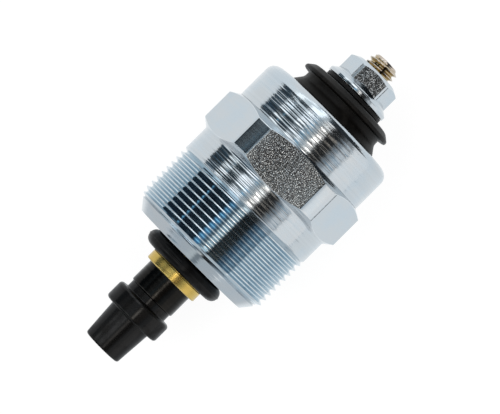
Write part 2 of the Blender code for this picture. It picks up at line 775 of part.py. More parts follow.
def make_terminal_base(parent):
    """Moulded base that holds the stud's head and lug in a pocket, with a seal in its rim."""
    groove_radius = BASE_RADIUS - COVER_SEAL_SECTION - FIT_GAP
    half_groove = COVER_SEAL_SECTION / 2 + FIT_GAP
    base = turned(
        "terminal_base",
        [
            (POCKET_RADIUS, BASE_BOTTOM),
            (BASE_RADIUS, BASE_BOTTOM),
            (BASE_RADIUS, COVER_SEAL_CENTRE - half_groove),
            (groove_radius, COVER_SEAL_CENTRE - half_groove),
            (groove_radius, COVER_SEAL_CENTRE + half_groove),
            (BASE_RADIUS, COVER_SEAL_CENTRE + half_groove),
            (BASE_RADIUS, BASE_TOP),
            (STUD_HOLE_RADIUS, BASE_TOP),
            (STUD_HOLE_RADIUS, POCKET_CEILING),
            (POCKET_RADIUS, POCKET_CEILING),
        ],
        MEDIUM_FACETS,
        parent,
        "base_resin",
    )
    slot = block(
        "lug_slot_cutter",
        (STUD_RADIUS, -LUG_TAIL_WIDTH / 2 - FIT_GAP, BASE_BOTTOM - CUT_MARGIN),
        (LUG_TAIL_REACH + FIT_GAP, LUG_TAIL_WIDTH / 2 + FIT_GAP, POCKET_CEILING),
        parent,
    )
    combine(base, slot, "DIFFERENCE")
    seal_ring(
        "cover_seal",
        COVER_SEAL_SECTION,
        BASE_RADIUS - COVER_SEAL_SECTION / 2,
        COVER_SEAL_CENTRE,
        SEAL_STEPS,
        parent,
    )


def make_lug(parent):
    """Copper ring under the stud's head, with a tail that the live lead is soldered to."""
    lug = turned(
        "contact_lug",
        [
            (STUD_HOLE_RADIUS, LUG_BOTTOM),
            (STUD_HEAD_RADIUS, LUG_BOTTOM),
            (STUD_HEAD_RADIUS, LUG_TOP),
            (STUD_HOLE_RADIUS, LUG_TOP),
        ],
        SMALL_FACETS,
        parent,
        "copper_strip",
    )
    tail = block(
        "lug_tail_guide",
        ((STUD_HOLE_RADIUS + STUD_HEAD_RADIUS) / 2, -LUG_TAIL_WIDTH / 2, LUG_BOTTOM),
        (LUG_TAIL_REACH, LUG_TAIL_WIDTH / 2, LUG_TOP),
        parent,
    )
    combine(lug, tail, "UNION")


def make_stud(parent):
    """Terminal stud: flat head in the base, plain shank through the cap, threaded top."""
    thread_start = STUD_TOP - STUD_THREAD_LENGTH
    thread_end = STUD_TOP - STUD_TIP_CHAMFER
    tip_radius = STUD_ROOT_RADIUS - STUD_TIP_CHAMFER
    mesh_tool = bmesh.new()
    shank = [
        (0.0, STUD_HEAD_BOTTOM),
        (STUD_HEAD_RADIUS, STUD_HEAD_BOTTOM),
        (STUD_HEAD_RADIUS, STUD_HEAD_TOP),
        (STUD_RADIUS, STUD_HEAD_TOP),
        (STUD_RADIUS, thread_start),
    ]
    tip = [(STUD_ROOT_RADIUS, thread_end), (tip_radius, STUD_TOP), (0.0, STUD_TOP)]
    spin_outline(mesh_tool, shank, SMALL_FACETS, closed=False)
    spin_outline(mesh_tool, tip, SMALL_FACETS, closed=False)
    add_thread(
        mesh_tool,
        (STUD_RADIUS, STUD_THREAD_DEPTH, STUD_PITCH, STUD_CREST_FLAT),
        (thread_start, STUD_RADIUS, STUD_PITCH),
        (thread_end, STUD_ROOT_RADIUS, STUD_THREAD_DEPTH),
        SMALL_FACETS,
    )
    place("terminal_stud", mesh_tool, parent, "nickel_plated_steel")


def make_rubber_cap(parent):
    """Rubber cap: foot under the rolled lip, V groove, neck and drooping flange."""
    turned(
        "rubber_cap",
        [
            (STUD_HOLE_RADIUS, FOOT_BOTTOM),
            (BASE_RADIUS, FOOT_BOTTOM),
            (BASE_RADIUS, FOOT_TOP),
            (CAP_WAIST_RADIUS, FOOT_TOP),
            (CAP_WAIST_RADIUS, CAP_GROOVE_BOTTOM, CAP_LIP_EDGE),
            (CAP_NECK_RADIUS, CAP_NECK_BOTTOM),
            (CAP_NECK_RADIUS, CAP_FLANGE_BOTTOM),
            (CAP_FLANGE_RADIUS, CAP_FLANGE_BOTTOM, CAP_LIP_EDGE),
            (CAP_FLANGE_RADIUS, CAP_LIP_TOP, CAP_LIP_EDGE),
            (CAP_FLANGE_RADIUS - CAP_SLOPE_WIDTH, CAP_SLOPE_TOP, CAP_SLOPE_EDGE),
            (CAP_SEAT_DIAMETER / 2, CAP_TOP),
            (STUD_HOLE_RADIUS, CAP_TOP),
        ],
        MEDIUM_FACETS,
        parent,
        "black_rubber",
    )


def make_washer(parent):
    """Hard insulating washer between the nut and the rubber cap."""
    turned(
        "insulating_washer",
        [
            (STUD_HOLE_RADIUS, WASHER_BOTTOM),
            (WASHER_DIAMETER / 2, WASHER_BOTTOM),
            (WASHER_DIAMETER / 2, WASHER_TOP),
            (STUD_HOLE_RADIUS, WASHER_TOP),
        ],
        MEDIUM_FACETS,
        parent,
        "black_laminate",
    )


def make_nut(parent):
    """Flange nut: hexagon with a turned top, joined to its cone flange and bored."""
    flange_radius = NUT_FLANGE_DIAMETER / 2
    rim_top = NUT_BOTTOM + NUT_FLANGE_RIM
    inner_radius = NUT_ACROSS_FLATS / 2 - NUT_FLANGE_SINK
    cone_top = rim_top + (flange_radius - inner_radius) * math.tan(NUT_FLANGE_SLOPE)
    top_radius = NUT_TOP_FACE_DIAMETER / 2
    corner_radius = NUT_ACROSS_FLATS / math.sqrt(3)
    outer_radius = corner_radius + CUT_MARGIN
    turning_drop = (outer_radius - top_radius) * math.tan(NUT_TOP_SLOPE)
    nut = hexagon_prism("flange_nut", NUT_ACROSS_FLATS, rim_top, NUT_TOP, parent, "zinc_plated_steel")
    turning = turned(
        "nut_top_guide",
        [
            (0.0, rim_top - CUT_MARGIN),
            (outer_radius, rim_top - CUT_MARGIN),
            (outer_radius, NUT_TOP - turning_drop),
            (top_radius, NUT_TOP),
            (0.0, NUT_TOP + CUT_MARGIN),
        ],
        MEDIUM_FACETS,
        parent,
        closed=False,
    )
    flange = turned(
        "nut_flange_guide",
        [
            (0.0, NUT_BOTTOM),
            (flange_radius, NUT_BOTTOM),
            (flange_radius, rim_top),
            (inner_radius, cone_top),
            (0.0, cone_top),
        ],
        MEDIUM_FACETS,
        parent,
        closed=False,
    )
    bore = turned(
        "nut_bore_cutter",
        [
            (0.0, NUT_BOTTOM - CUT_MARGIN),
            (STUD_HOLE_RADIUS, NUT_BOTTOM - CUT_MARGIN),
            (STUD_HOLE_RADIUS, NUT_TOP + CUT_MARGIN),
            (0.0, NUT_TOP + CUT_MARGIN),
        ],
        SMALL_FACETS,
        parent,
        closed=False,
    )
    combine(nut, turning, "INTERSECT")
    combine(nut, flange, "UNION")
    combine(nut, bore, "DIFFERENCE")


def make_armature(parent):
    """Steel plunger body: spring pocket on top, headed pin for the moulded tip below."""
    pin_radius = PIN_DIAMETER / 2
    head_radius = PIN_HEAD_DIAMETER / 2
    pin_end = ARMATURE_END - PIN_LENGTH
    turned(
        "armature",
        [
            (0.0, pin_end),
            (head_radius, pin_end),
            (head_radius, pin_end + PIN_HEAD_THICKNESS),
            (pin_radius, pin_end + PIN_HEAD_THICKNESS),
            (pin_radius, ARMATURE_END),
            (SHAFT_RADIUS, ARMATURE_END, ARMATURE_EDGE),
            (SHAFT_RADIUS, ARMATURE_TOP, ARMATURE_EDGE),
            (SPRING_POCKET_RADIUS, ARMATURE_TOP),
            (SPRING_POCKET_RADIUS, SPRING_POCKET_FLOOR),
            (0.0, SPRING_POCKET_FLOOR),
        ],
        MEDIUM_FACETS,
        parent,
        "blackened_steel",
        closed=False,
    )


def make_valve_tip(parent):
    """Tip moulded round the armature's pin: neck, sealing collar and tapered end."""
    pin_radius = PIN_DIAMETER / 2 + FIT_GAP
    head_radius = PIN_HEAD_DIAMETER / 2 + FIT_GAP
    pin_end = ARMATURE_END - PIN_LENGTH - FIT_GAP
    head_top = pin_end + PIN_HEAD_THICKNESS + 2 * FIT_GAP
    neck_radius = SHAFT_RADIUS - NECK_STEP
    cone_radius = SHAFT_RADIUS - CONE_STEP
    turned(
        "valve_tip",
        [
            (0.0, TIP_END),
            (cone_radius - CONE_TAPER, TIP_END, CONE_EDGE),
            (cone_radius, COLLAR_BOTTOM),
            (SHAFT_RADIUS + COLLAR_RISE, COLLAR_BOTTOM, COLLAR_LOWER_EDGE),
            (SHAFT_RADIUS + COLLAR_RISE, COLLAR_TOP, COLLAR_UPPER_EDGE),
            (neck_radius, COLLAR_TOP),
            (neck_radius, TIP_TOP),
            (pin_radius, TIP_TOP),
            (pin_radius, head_top),
            (head_radius, head_top),
            (head_radius, pin_end),
            (0.0, pin_end),
        ],
        MEDIUM_FACETS,
        parent,
        "valve_rubber",
        closed=False,
    )


def make_return_spring(parent):
    """Coil spring between the armature's pocket and the core's recess."""
    wire_radius = SPRING_WIRE / 2
    coil_radius = SPRING_POCKET_RADIUS - SPRING_PLAY - wire_radius
    bottom = SPRING_POCKET_FLOOR + SEAT_GAP + wire_radius
    top = CORE_RECESS_TOP - SEAT_GAP - wire_radius
    steps = SPRING_TURNS * SPRING_STEPS
    mesh_tool = bmesh.new()
    rings = []
    for step in range(steps + 1):
        angle = 2 * math.pi * step / SPRING_STEPS
        height = bottom + (top - bottom) * step / steps
        outward = Vector((math.cos(angle), math.sin(angle), 0.0))
        centre = outward * coil_radius + Vector((0.0, 0.0, height))
        ring = []
        for side in range(WIRE_FACETS):
            turn = 2 * math.pi * side / WIRE_FACETS
            lift = Vector((0.0, 0.0, math.sin(turn)))
            ring.append(mesh_tool.verts.new(centre + (outward * math.cos(turn) + lift) * wire_radius))
        rings.append(ring)
    for lower, upper in zip(rings, rings[1:]):
        for side in range(WIRE_FACETS):
            other = (side + 1) % WIRE_FACETS
            mesh_tool.faces.new((lower[side], lower[other], upper[other], upper[side]))
    mesh_tool.faces.new(rings[0])
    mesh_tool.faces.new(rings[-1])
    place("return_spring", mesh_tool, parent, "spring_steel")


def build_valve():
    """Build every piece of the valve on its axis and lay the axis down."""
    clear_scene()
    valve_axis = empty("valve_axis", AXIS_START, turn=(0.0, math.radians(90.0), 0.0))
    plunger_axis = empty("plunger_axis", (0.0, 0.0, 0.0), parent=valve_axis)
    make_housing(valve_axis)
    make_guide_tube(valve_axis)
    make_nose_seal(valve_axis)
    make_pole_core(valve_axis)
    make_flux_plate(valve_axis)
    make_bobbin(valve_axis)
    make_winding(valve_axis)
    make_leads(valve_axis)
    make_insulating_disc(valve_axis)
    make_terminal_base(valve_axis)
    make_lug(valve_axis)
    make_stud(valve_axis)
    make_rubber_cap(valve_axis)
    make_washer(valve_axis)
    make_nut(valve_axis)
    make_return_spring(valve_axis)
    make_armature(plunger_axis)
    make_valve_tip(plunger_axis)


build_valve()
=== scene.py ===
"""Visual model of an injection pump valve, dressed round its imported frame.

Every piece is worked out in millimetres along the valve's axis and put where the frame's
nodes are. Surfaces are profiles carried round the axis, as whole numpy arrays.
"""
import logging
import math
from dataclasses import dataclass, field
from enum import Enum
from typing import Any, NamedTuple

import bmesh
import bpy
import numpy as np
from mathutils import Matrix, Vector


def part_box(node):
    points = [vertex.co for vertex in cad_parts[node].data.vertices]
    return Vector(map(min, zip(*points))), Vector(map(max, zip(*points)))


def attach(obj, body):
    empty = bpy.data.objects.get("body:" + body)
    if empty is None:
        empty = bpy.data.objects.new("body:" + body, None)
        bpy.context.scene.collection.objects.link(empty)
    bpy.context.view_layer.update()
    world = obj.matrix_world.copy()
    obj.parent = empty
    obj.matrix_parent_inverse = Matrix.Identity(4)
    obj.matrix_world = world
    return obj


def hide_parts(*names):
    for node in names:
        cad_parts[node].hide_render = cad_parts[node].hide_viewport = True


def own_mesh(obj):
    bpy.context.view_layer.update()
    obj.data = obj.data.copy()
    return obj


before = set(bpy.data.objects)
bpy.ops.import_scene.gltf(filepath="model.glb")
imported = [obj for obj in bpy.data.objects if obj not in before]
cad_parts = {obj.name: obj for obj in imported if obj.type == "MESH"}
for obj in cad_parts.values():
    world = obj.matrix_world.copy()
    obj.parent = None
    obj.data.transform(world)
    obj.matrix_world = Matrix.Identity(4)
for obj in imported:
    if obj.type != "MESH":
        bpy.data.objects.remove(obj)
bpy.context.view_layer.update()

LOG = logging.getLogger("valve")
MM = 0.001
AXIS_HEIGHT = 0.5 * (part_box("housing")[0].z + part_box("housing")[1].z)
NOSE_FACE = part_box("housing")[0].x
FINE_EDGE = 0.3               # mm: roundings below this size get the edge mask: lighter edges, partly from rubbing and partly a painted highlight, and painted shade in inner corners
HOLD = 0.05                   # mm: how far outside a rounding its straight sides are held flat
HOLD_SHARE = 0.02             # the most of a side that this held stretch may take
ROUNDED_SHARE = 0.47          # the most of a side that one rounding may take
CREST_SHARE = 0.05            # share of a thread's depth down to which a row is its crest
PER_MM = 1000.0               # patterns count in millimetres along an axis scaled by this
MERGE_DISTANCE = 1.0e-6       # m
SHARP_ANGLE = math.radians(40.0)
MASKS = ("edge", "grain", "calm", "thread")
FULL_TURN = 2.0 * math.pi

Colour = tuple[float, float, float]
Value = float | np.ndarray
Material = bpy.types.Material
Piece = bpy.types.Object
ShaderNode = bpy.types.Node
Socket = bpy.types.NodeSocket


class Body(str, Enum):
    """The two bodies that pieces ride on."""

    VALVE = "valve_body"
    PLUNGER = "plunger"


# Surfaces


@dataclass
class Patch:
    """A grid of points, rows by columns, whose columns run once round the valve's axis.

    turn_rows is the number of rows that the last column climbs to meet the first, which
    is one pitch of a thread. edge is 1 on fine rounded edges and -1 in fine inner corners,
    grain is 1 on milled flats, calm is 1 where no turning marks show and thread is 1 on a
    thread's smooth flanks.
    """

    points: np.ndarray
    edge: np.ndarray
    grain: np.ndarray
    calm: np.ndarray | None = None
    thread: np.ndarray | None = None
    turn_rows: int = 0


class Corner(NamedTuple):
    """A corner of a turned profile in millimetres, and the finish of the side after it.

    along is measured from the nose face and radius from the axis. edge is the radius of
    the corner's rounding. grain and calm are the masks of the side after it, and rolled,
    where given, is the grain of the rounding itself. All but edge may be one per column.
    """

    along: Value
    radius: Value
    edge: float = 0.0
    grain: Value = 0.0
    calm: Value = 0.0
    rolled: Value | None = None


def even_turn(count: int) -> np.ndarray:
    """Return count angles spread evenly over one turn, in radians."""
    return np.arange(count) * FULL_TURN / count


def hexagon_turn(step: float, land_edge: float, fine: float = 0.28) -> np.ndarray:
    """Return the column angles round a hexagon, closer together beside each flat's edges.

    One sixth is even steps from the middle of a flat, plus a few narrow ones on both
    sides of the angle where the flat meets the turned land; six such sixths, mirrored
    about their middles, make the turn.

    Args:
        step: even step in degrees.
        land_edge: angle in degrees from the middle of a flat to its edge.
        fine: narrow step in degrees.

    Returns:
        Sorted angles in radians, starting at the middle of the lowest flat.
    """
    even = np.arange(0.0, 30.0 + step / 2, step)
    near = land_edge + fine * np.arange(-4, 5)
    near = near[(near > 0.0) & (near < 30.0)]
    half = np.concatenate([even[np.abs(even - land_edge) > 4.5 * fine], near])
    sixth = np.concatenate([-half, half])
    turn = (sixth[None, :] + 60.0 * np.arange(6)[:, None]).ravel() % 360.0
    return np.radians(np.unique(np.round(turn, 6)))


def from_flat_middle(turn: np.ndarray) -> np.ndarray:
    """Return each angle's distance, in radians, from the middle of the nearest flat."""
    sixth = math.radians(60.0)
    return np.abs((turn + sixth / 2) % sixth - sixth / 2)


def soft_least(first: np.ndarray, second: np.ndarray, blend: float) -> np.ndarray:
    """Return the smaller of two arrays, with a smooth change over the blend distance.

    h = clip(1/2 + (second - first) / (2 blend)); the result is
    second + (first - second) h - blend h (1 - h).
    """
    share = np.clip(0.5 + 0.5 * (second - first) / blend, 0.0, 1.0)
    return second + (first - second) * share - blend * share * (1.0 - share)


def rounded(corners: list[Corner], columns: int, steps: int) -> tuple[np.ndarray, np.ndarray]:
    """Round a profile's corners, for all columns at once.

    A corner C between its neighbours becomes an arc of the wanted radius: with the half
    angle h at the corner, the arc leaves both sides at reach = radius / tan h from C, its
    centre lies radius / sin h along the bisector, and each arc point is the centre plus
    a spherical blend of the first and the last spoke. One more row just outside each end
    of the arc keeps the shading of the straight sides flat.

    Args:
        corners: the profile's corners.
        columns: number of columns round the axis.
        steps: parts in each arc.

    Returns:
        The rows as an array (rows, columns, 2) and the rows' edge mask (rows, columns),
        which is 1 on outer edges and -1 in inner corners.
    """
    along_rows = [np.broadcast_to(np.asarray(corner.along, float), (columns,)) for corner in corners]
    radius_rows = [np.broadcast_to(np.asarray(corner.radius, float), (columns,)) for corner in corners]
    points = np.stack([np.stack(along_rows), np.stack(radius_rows)], axis=-1)
    rows, masks = [], []
    for index, corner in enumerate(corners):
        if corner.edge == 0.0 or index in (0, len(corners) - 1):
            rows.append(points[index])
            masks.append(np.zeros(columns))
            continue
        back = points[index - 1] - points[index]
        ahead = points[index + 1] - points[index]
        back_length = np.linalg.norm(back, axis=-1)
        ahead_length = np.linalg.norm(ahead, axis=-1)
        back = back / back_length[:, None]
        ahead = ahead / ahead_length[:, None]
        half = 0.5 * np.arccos(np.clip((back * ahead).sum(axis=-1), -1.0, 1.0))
        shorter = np.minimum(back_length, ahead_length)
        reach = np.minimum(corner.edge / np.tan(half), ROUNDED_SHARE * shorter)
        middle = back + ahead
        middle = middle / np.linalg.norm(middle, axis=-1)[:, None]
        centre = points[index] + middle * (reach / np.cos(half))[:, None]
        first = points[index] + back * reach[:, None] - centre
        last = points[index] + ahead * reach[:, None] - centre
        sweep = math.pi - 2.0 * half
        inner = back[:, 1] * ahead[:, 0] - back[:, 0] * ahead[:, 1] > 0.0
        kind = np.where(inner, -1.0, 1.0)
        hold = reach + np.minimum(HOLD, HOLD_SHARE * shorter)
        rows.append(points[index] + back * hold[:, None])
        masks.append(np.zeros(columns))
        for step in range(steps + 1):
            share = step / steps
            start = (np.sin((1.0 - share) * sweep) / np.sin(sweep))[:, None]
            end = (np.sin(share * sweep) / np.sin(sweep))[:, None]
            rows.append(centre + first * start + last * end)
            peak = 4.0 * share * (1.0 - share) if corner.edge < FINE_EDGE else 0.0
            masks.append(peak * kind)
        rows.append(points[index] + ahead * hold[:, None])
        masks.append(np.zeros(columns))
    return np.stack(rows), np.stack(masks)


def around_axis(profile: np.ndarray, turn: np.ndarray) -> np.ndarray:
    """Carry a profile round the valve's axis.

    A profile point (along a, radius r) at the angle t becomes x = nose face + a,
    y = r sin t, z = axis height - r cos t, so that t = 0 points straight down.

    Args:
        profile: array (rows, columns, 2) in millimetres from the nose face.
        turn: angle of each column in radians.

    Returns:
        Array (rows, columns, 3) in metres.
    """
    along = NOSE_FACE + profile[..., 0] * MM
    radius = profile[..., 1] * MM
    across = radius * np.sin(turn)[None, :]
    height = AXIS_HEIGHT - radius * np.cos(turn)[None, :]
    return np.stack([along, across, height], axis=-1)


def turned_patch(corners: list[Corner], turn: np.ndarray, steps: int = 4) -> Patch:
    """Return a turned surface for a profile with rounded corners.

    Args:
        corners: the profile's corners.
        turn: column angles.
        steps: parts in each rounding.

    Returns:
        The patch, with its edge, grain and calm masks.
    """
    profile, edge = rounded(corners, len(turn), steps)
    grain, calm = np.zeros(edge.shape), np.zeros(edge.shape)
    row = 0
    before = Corner(0.0, 0.0)
    for index, corner in enumerate(corners):
        is_end = index in (0, len(corners) - 1)
        count = 1 if corner.edge == 0.0 or is_end else steps + 3
        near = slice(row, row + (count + 1) // 2)
        far = slice(row + count // 2, row + count)
        grain[near], calm[near] = before.grain, before.calm
        grain[far], calm[far] = corner.grain, corner.calm
        if corner.rolled is not None:
            grain[row : row + count] = corner.rolled
        row += count
        before = corner
    return Patch(around_axis(profile, turn), edge, grain, calm)


@dataclass(frozen=True)
class Thread:
    """A right-hand outside thread in millimetres, faded into a plain ring at both ends.

    start and end are its ends along the axis, with the plain ring's radius and the length
    of the fade at each. A chamfer's cone, where there is one, is cone_radius at the start
    and grows by cone_gain for each millimetre along.
    """

    crest: float
    depth: float
    pitch: float
    start: float
    start_radius: float
    start_fade: float
    end: float
    end_radius: float
    end_fade: float
    cone_radius: float = 100.0
    cone_gain: float = 0.0

    # One pitch of the thread as (share of the pitch, share of the depth): a narrow crest
    # with small rounded edges, straight flanks and a rounded root.
    PROFILE = (
        (-0.110, 0.134), (-0.090, 0.078), (-0.068, 0.018), (-0.050, 0.0), (0.050, 0.0),
        (0.068, 0.018), (0.090, 0.078), (0.110, 0.134), (0.400, 0.953), (0.4165, 1.0),
        (0.5835, 1.0), (0.600, 0.953),
    )

    def patch(self, turn: np.ndarray) -> Patch:
        """Return the thread's surface.

        Row k of a turn starts at start + pitch (turns + share) and climbs pitch t / 2 pi
        with the angle t. Heights are held between both ends, the radius stays under the
        chamfer's cone, and it fades to the plain ring's with the distance from each end.

        Args:
            turn: column angles, starting at 0.

        Returns:
            The patch, whose last column meets the first one pitch higher.
        """
        shares = np.array(self.PROFILE)
        kinds = len(shares)
        turns = math.ceil((self.end - self.start) / self.pitch) + 3
        rows = np.arange(kinds * turns)
        heights = self.start + self.pitch * (rows // kinds - 1 + shares[rows % kinds, 0])
        heights = heights[:, None] + self.pitch * turn[None, :] / FULL_TURN
        heights = np.clip(heights, self.start, self.end)
        depths = shares[rows % kinds, 1]
        radii = np.broadcast_to((self.crest - self.depth * depths)[:, None], heights.shape)
        cone = self.cone_radius + (heights - self.start) * self.cone_gain
        radii = np.minimum(radii, cone)
        fade_in = np.clip((heights - self.start) / self.start_fade, 0.0, 1.0)
        fade_out = np.clip((self.end - heights) / self.end_fade, 0.0, 1.0)
        radii = self.start_radius + (radii - self.start_radius) * fade_in
        radii = self.end_radius + (radii - self.end_radius) * fade_out
        crest = np.broadcast_to((depths < CREST_SHARE)[:, None], heights.shape)
        points = around_axis(np.stack([heights, radii], axis=-1), turn)
        edge = crest * fade_in * fade_out
        flank = np.clip(2.0 * fade_in * fade_out - 1.0, 0.0, 1.0)
        return Patch(points, edge, np.zeros(heights.shape), flank, flank, kinds)


def patch_faces(patch: Patch, offset: int, closed_rows: bool) -> np.ndarray:
    """Return a patch's four-sided faces as rows of vertex indices.

    The face of row r and column c joins (r, c), (r, c + 1), (r + 1, c + 1) and (r + 1, c);
    across the seam the far rows are turn_rows higher, held at the last row.

    Args:
        patch: the grid.
        offset: index of its first point.
        closed_rows: whether its last row joins its first.

    Returns:
        Array (faces, 4), without the faces that the held rows leave flat.
    """
    rows, columns = patch.points.shape[:2]
    last = rows if closed_rows else rows - 1
    row, column = np.meshgrid(np.arange(last), np.arange(columns), indexing="ij")
    following = (column + 1) % columns
    climb = np.where(following == 0, patch.turn_rows, 0)
    if closed_rows:
        low, high, upper = (row + climb) % rows, (row + 1 + climb) % rows, (row + 1) % rows
    else:
        low = np.minimum(row + climb, rows - 1)
        high = np.minimum(row + 1 + climb, rows - 1)
        upper = row + 1
    corners = (
        row * columns + column,
        low * columns + following,
        high * columns + following,
        upper * columns + column,
    )
    faces = np.stack(corners, axis=-1).reshape(-1, 4)
    return faces[(low != high).ravel()] + offset


def skin(name: str, patches: list[Patch], closed_rows: bool = False) -> Piece:
    """Make one closed mesh object of patches that meet along their end rows.

    Args:
        name: name of the piece.
        patches: the grids; rows that coincide are merged.
        closed_rows: whether each patch's last row joins its first, as in a ring.

    Returns:
        The object, with outward faces and the patches' four masks on its points.
    """
    offset = 0
    faces = []
    for patch in patches:
        faces.append(patch_faces(patch, offset, closed_rows))
        offset += patch.points.shape[0] * patch.points.shape[1]
    points = np.concatenate([patch.points.reshape(-1, 3) for patch in patches])
    masks = {
        mask: np.concatenate([or_zeros(getattr(patch, mask), patch).ravel() for patch in patches])
        for mask in MASKS
    }
    return solid(name, points, np.concatenate(faces), masks)


def or_zeros(mask: np.ndarray | None, patch: Patch) -> np.ndarray:
    """Return a patch's mask, or zeros where it has none."""
    return np.zeros(patch.edge.shape) if mask is None else mask


def in_scene(name: str, data: Any) -> Piece:
    """Make an object and link it to the scene.

    Args:
        name: name of the object.
        data: its mesh, light or camera.

    Returns:
        The object.
    """
    made = bpy.data.objects.new(name, data)
    bpy.context.scene.collection.objects.link(made)
    return made


def solid(name: str, points: np.ndarray, faces: np.ndarray, masks: dict[str, np.ndarray]) -> Piece:
    """Put points and four-sided faces into a mesh, merge doubles and point faces outward.

    Args:
        name: name of the piece.
        points: array (points, 3) in metres.
        faces: array (faces, 4) of indices.
        masks: values per point, by attribute name.

    Returns:
        The object, linked to the scene.
    """
    mesh = bpy.data.meshes.new(name)
    mesh.vertices.add(len(points))
    mesh.vertices.foreach_set("co", points.astype(np.float32).ravel())
    mesh.loops.add(faces.size)
    mesh.loops.foreach_set("vertex_index", faces.astype(np.int32).ravel())
    mesh.polygons.add(len(faces))
    mesh.polygons.foreach_set("loop_start", np.arange(0, faces.size, 4, dtype=np.int32))
    mesh.update(calc_edges=True)
    for mask, values in masks.items():
        mesh.attributes.new(mask, "FLOAT", "POINT").data.foreach_set("value", values.astype(np.float32))
    tool = bmesh.new()
    tool.from_mesh(mesh)
    bmesh.ops.remove_doubles(tool, verts=tool.verts, dist=MERGE_DISTANCE)
    bmesh.ops.dissolve_degenerate(tool, edges=tool.edges, dist=MERGE_DISTANCE / 2)
    bmesh.ops.recalc_face_normals(tool, faces=tool.faces)
    loose = sum(1 for edge in tool.edges if len(edge.link_faces) != 2)
    if tool.calc_volume(signed=True) < 0.0:
        bmesh.ops.reverse_faces(tool, faces=tool.faces)
    tool.to_mesh(mesh)
    tool.free()
    mesh.shade_smooth()
    mesh.set_sharp_from_angle(angle=SHARP_ANGLE)
    LOG.info("%s: %d faces, %d open edges", name, len(mesh.polygons), loose)
    return in_scene(name, mesh)


def settle(piece: Piece, node: str, body: Body, material: Material) -> Piece:
    """Give a piece its finish and its body, and let it stand for one node of the frame.

    Args:
        piece: the finished piece.
        node: the frame's node that it replaces.
        body: body that it rides on.
        material: the finish.

    Returns:
        The same piece.
    """
    piece.data.materials.append(material)
    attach(piece, body.value)
    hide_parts(node)
    return piece


# Node graphs


class Graph:
    """Adds nodes to one node tree and wires them by socket."""

    def __init__(self, tree: bpy.types.NodeTree) -> None:
        """Keep the tree."""
        self.tree = tree

    def node(self, kind: str, sockets: dict[Any, Any] | None = None, **options: Any) -> ShaderNode:
        """Add a node, set its options and fill or link its inputs.

        Args:
            kind: node type.
            sockets: value or output socket by input name or index.
            options: settings of the node.

        Returns:
            The node.
        """
        node = self.tree.nodes.new(kind)
        for option, value in options.items():
            setattr(node, option, value)
        self.fill(node, sockets or {})
        return node

    def fill(self, node: ShaderNode, sockets: dict[Any, Any]) -> None:
        """Set a node's inputs to plain values, or link them where a socket is given.

        Args:
            node: the node.
            sockets: value or output socket by input name or index.
        """
        for key, value in sockets.items():
            if isinstance(value, Socket):
                self.tree.links.new(value, node.inputs[key])
            else:
                node.inputs[key].default_value = value

    def math(self, operation: str, first: Any, second: Any = 0.0, clamp: bool = False) -> Socket:
        """Add a Math node and return its value."""
        node = self.node("ShaderNodeMath", {0: first, 1: second}, operation=operation, use_clamp=clamp)
        return node.outputs[0]

    def vector(self, operation: str, first: Any, second: Any = (0.0, 0.0, 0.0)) -> Socket:
        """Add a Vector Math node and return its vector; SCALE takes a number as its second."""
        key = "Scale" if operation == "SCALE" else 1
        return self.node("ShaderNodeVectorMath", {0: first, key: second}, operation=operation).outputs[0]

    def attribute(self, name: str) -> Socket:
        """Return the value of one of the mesh's masks."""
        return self.node("ShaderNodeAttribute", attribute_name=name).outputs["Fac"]

    def mix(self, share: Any, first: Any, second: Any, blend: str = "MIX") -> Socket:
        """Mix two colours by a share.

        Args:
            share: value or socket that is 0 for the first colour and 1 for the second.
            first: colour or socket.
            second: colour or socket.
            blend: how the second goes over the first.

        Returns:
            The mixed colour.
        """
        first = (*first, 1.0) if isinstance(first, tuple) and len(first) == 3 else first
        second = (*second, 1.0) if isinstance(second, tuple) and len(second) == 3 else second
        sockets = {0: share, 6: first, 7: second}
        return self.node("ShaderNodeMix", sockets, data_type="RGBA", blend_type=blend).outputs[2]

    def spread(self, value: Any, low: float, high: float, to_low: float, to_high: float) -> Socket:
        """Map a value from one range to another, smoothly and held at the ends.

        Args:
            value: socket to map.
            low: where the range starts.
            high: where it ends.
            to_low: result at low and below.
            to_high: result at high and above.

        Returns:
            The mapped value.
        """
        sockets = {"Value": value, "From Min": low, "From Max": high, "To Min": to_low, "To Max": to_high}
        return self.node("ShaderNodeMapRange", sockets, interpolation_type="SMOOTHSTEP").outputs[0]

    def noise(self, vector: Any, scale: Any, detail: float = 2.0, rough: float = 0.5) -> Socket:
        """Add a noise texture and return its value."""
        sockets = {"Vector": vector, "Scale": scale, "Detail": detail, "Roughness": rough}
        return self.node("ShaderNodeTexNoise", sockets).outputs["Fac"]

    def place(self, scale: tuple[float, float, float] = (1.0, 1.0, 1.0)) -> Socket:
        """Return Object coordinates, scaled along each axis."""
        sockets = {"Vector": self.node("ShaderNodeTexCoord").outputs["Object"], "Scale": scale}
        return self.node("ShaderNodeMapping", sockets, vector_type="POINT").outputs[0]

    def raised(self, height: Socket, depth: float) -> Socket:
        """Return the normal of a surface that a height raises, by at most depth millimetres."""
        height = self.math("MULTIPLY", height, depth)
        return self.node("ShaderNodeBump", {"Height": height, "Strength": 1.0, "Distance": MM}).outputs[0]


class Effect(str, Enum):
    """Shared surface effects, each one node group."""

    TURNING = "turning_marks"
    GRAIN = "drawn_bar_grain"
    # Lighter fine edges, partly from rubbing and partly a painted highlight, and painted shade in inner
    # corners.
    PLATING = "plating_tint"
    WEAR_HIGHLIGHT_AND_SHADE = "edge_wear_highlight_and_corner_shade"
    MOULDED = "moulded_skin"
    FIBRES = "pressed_fibres"


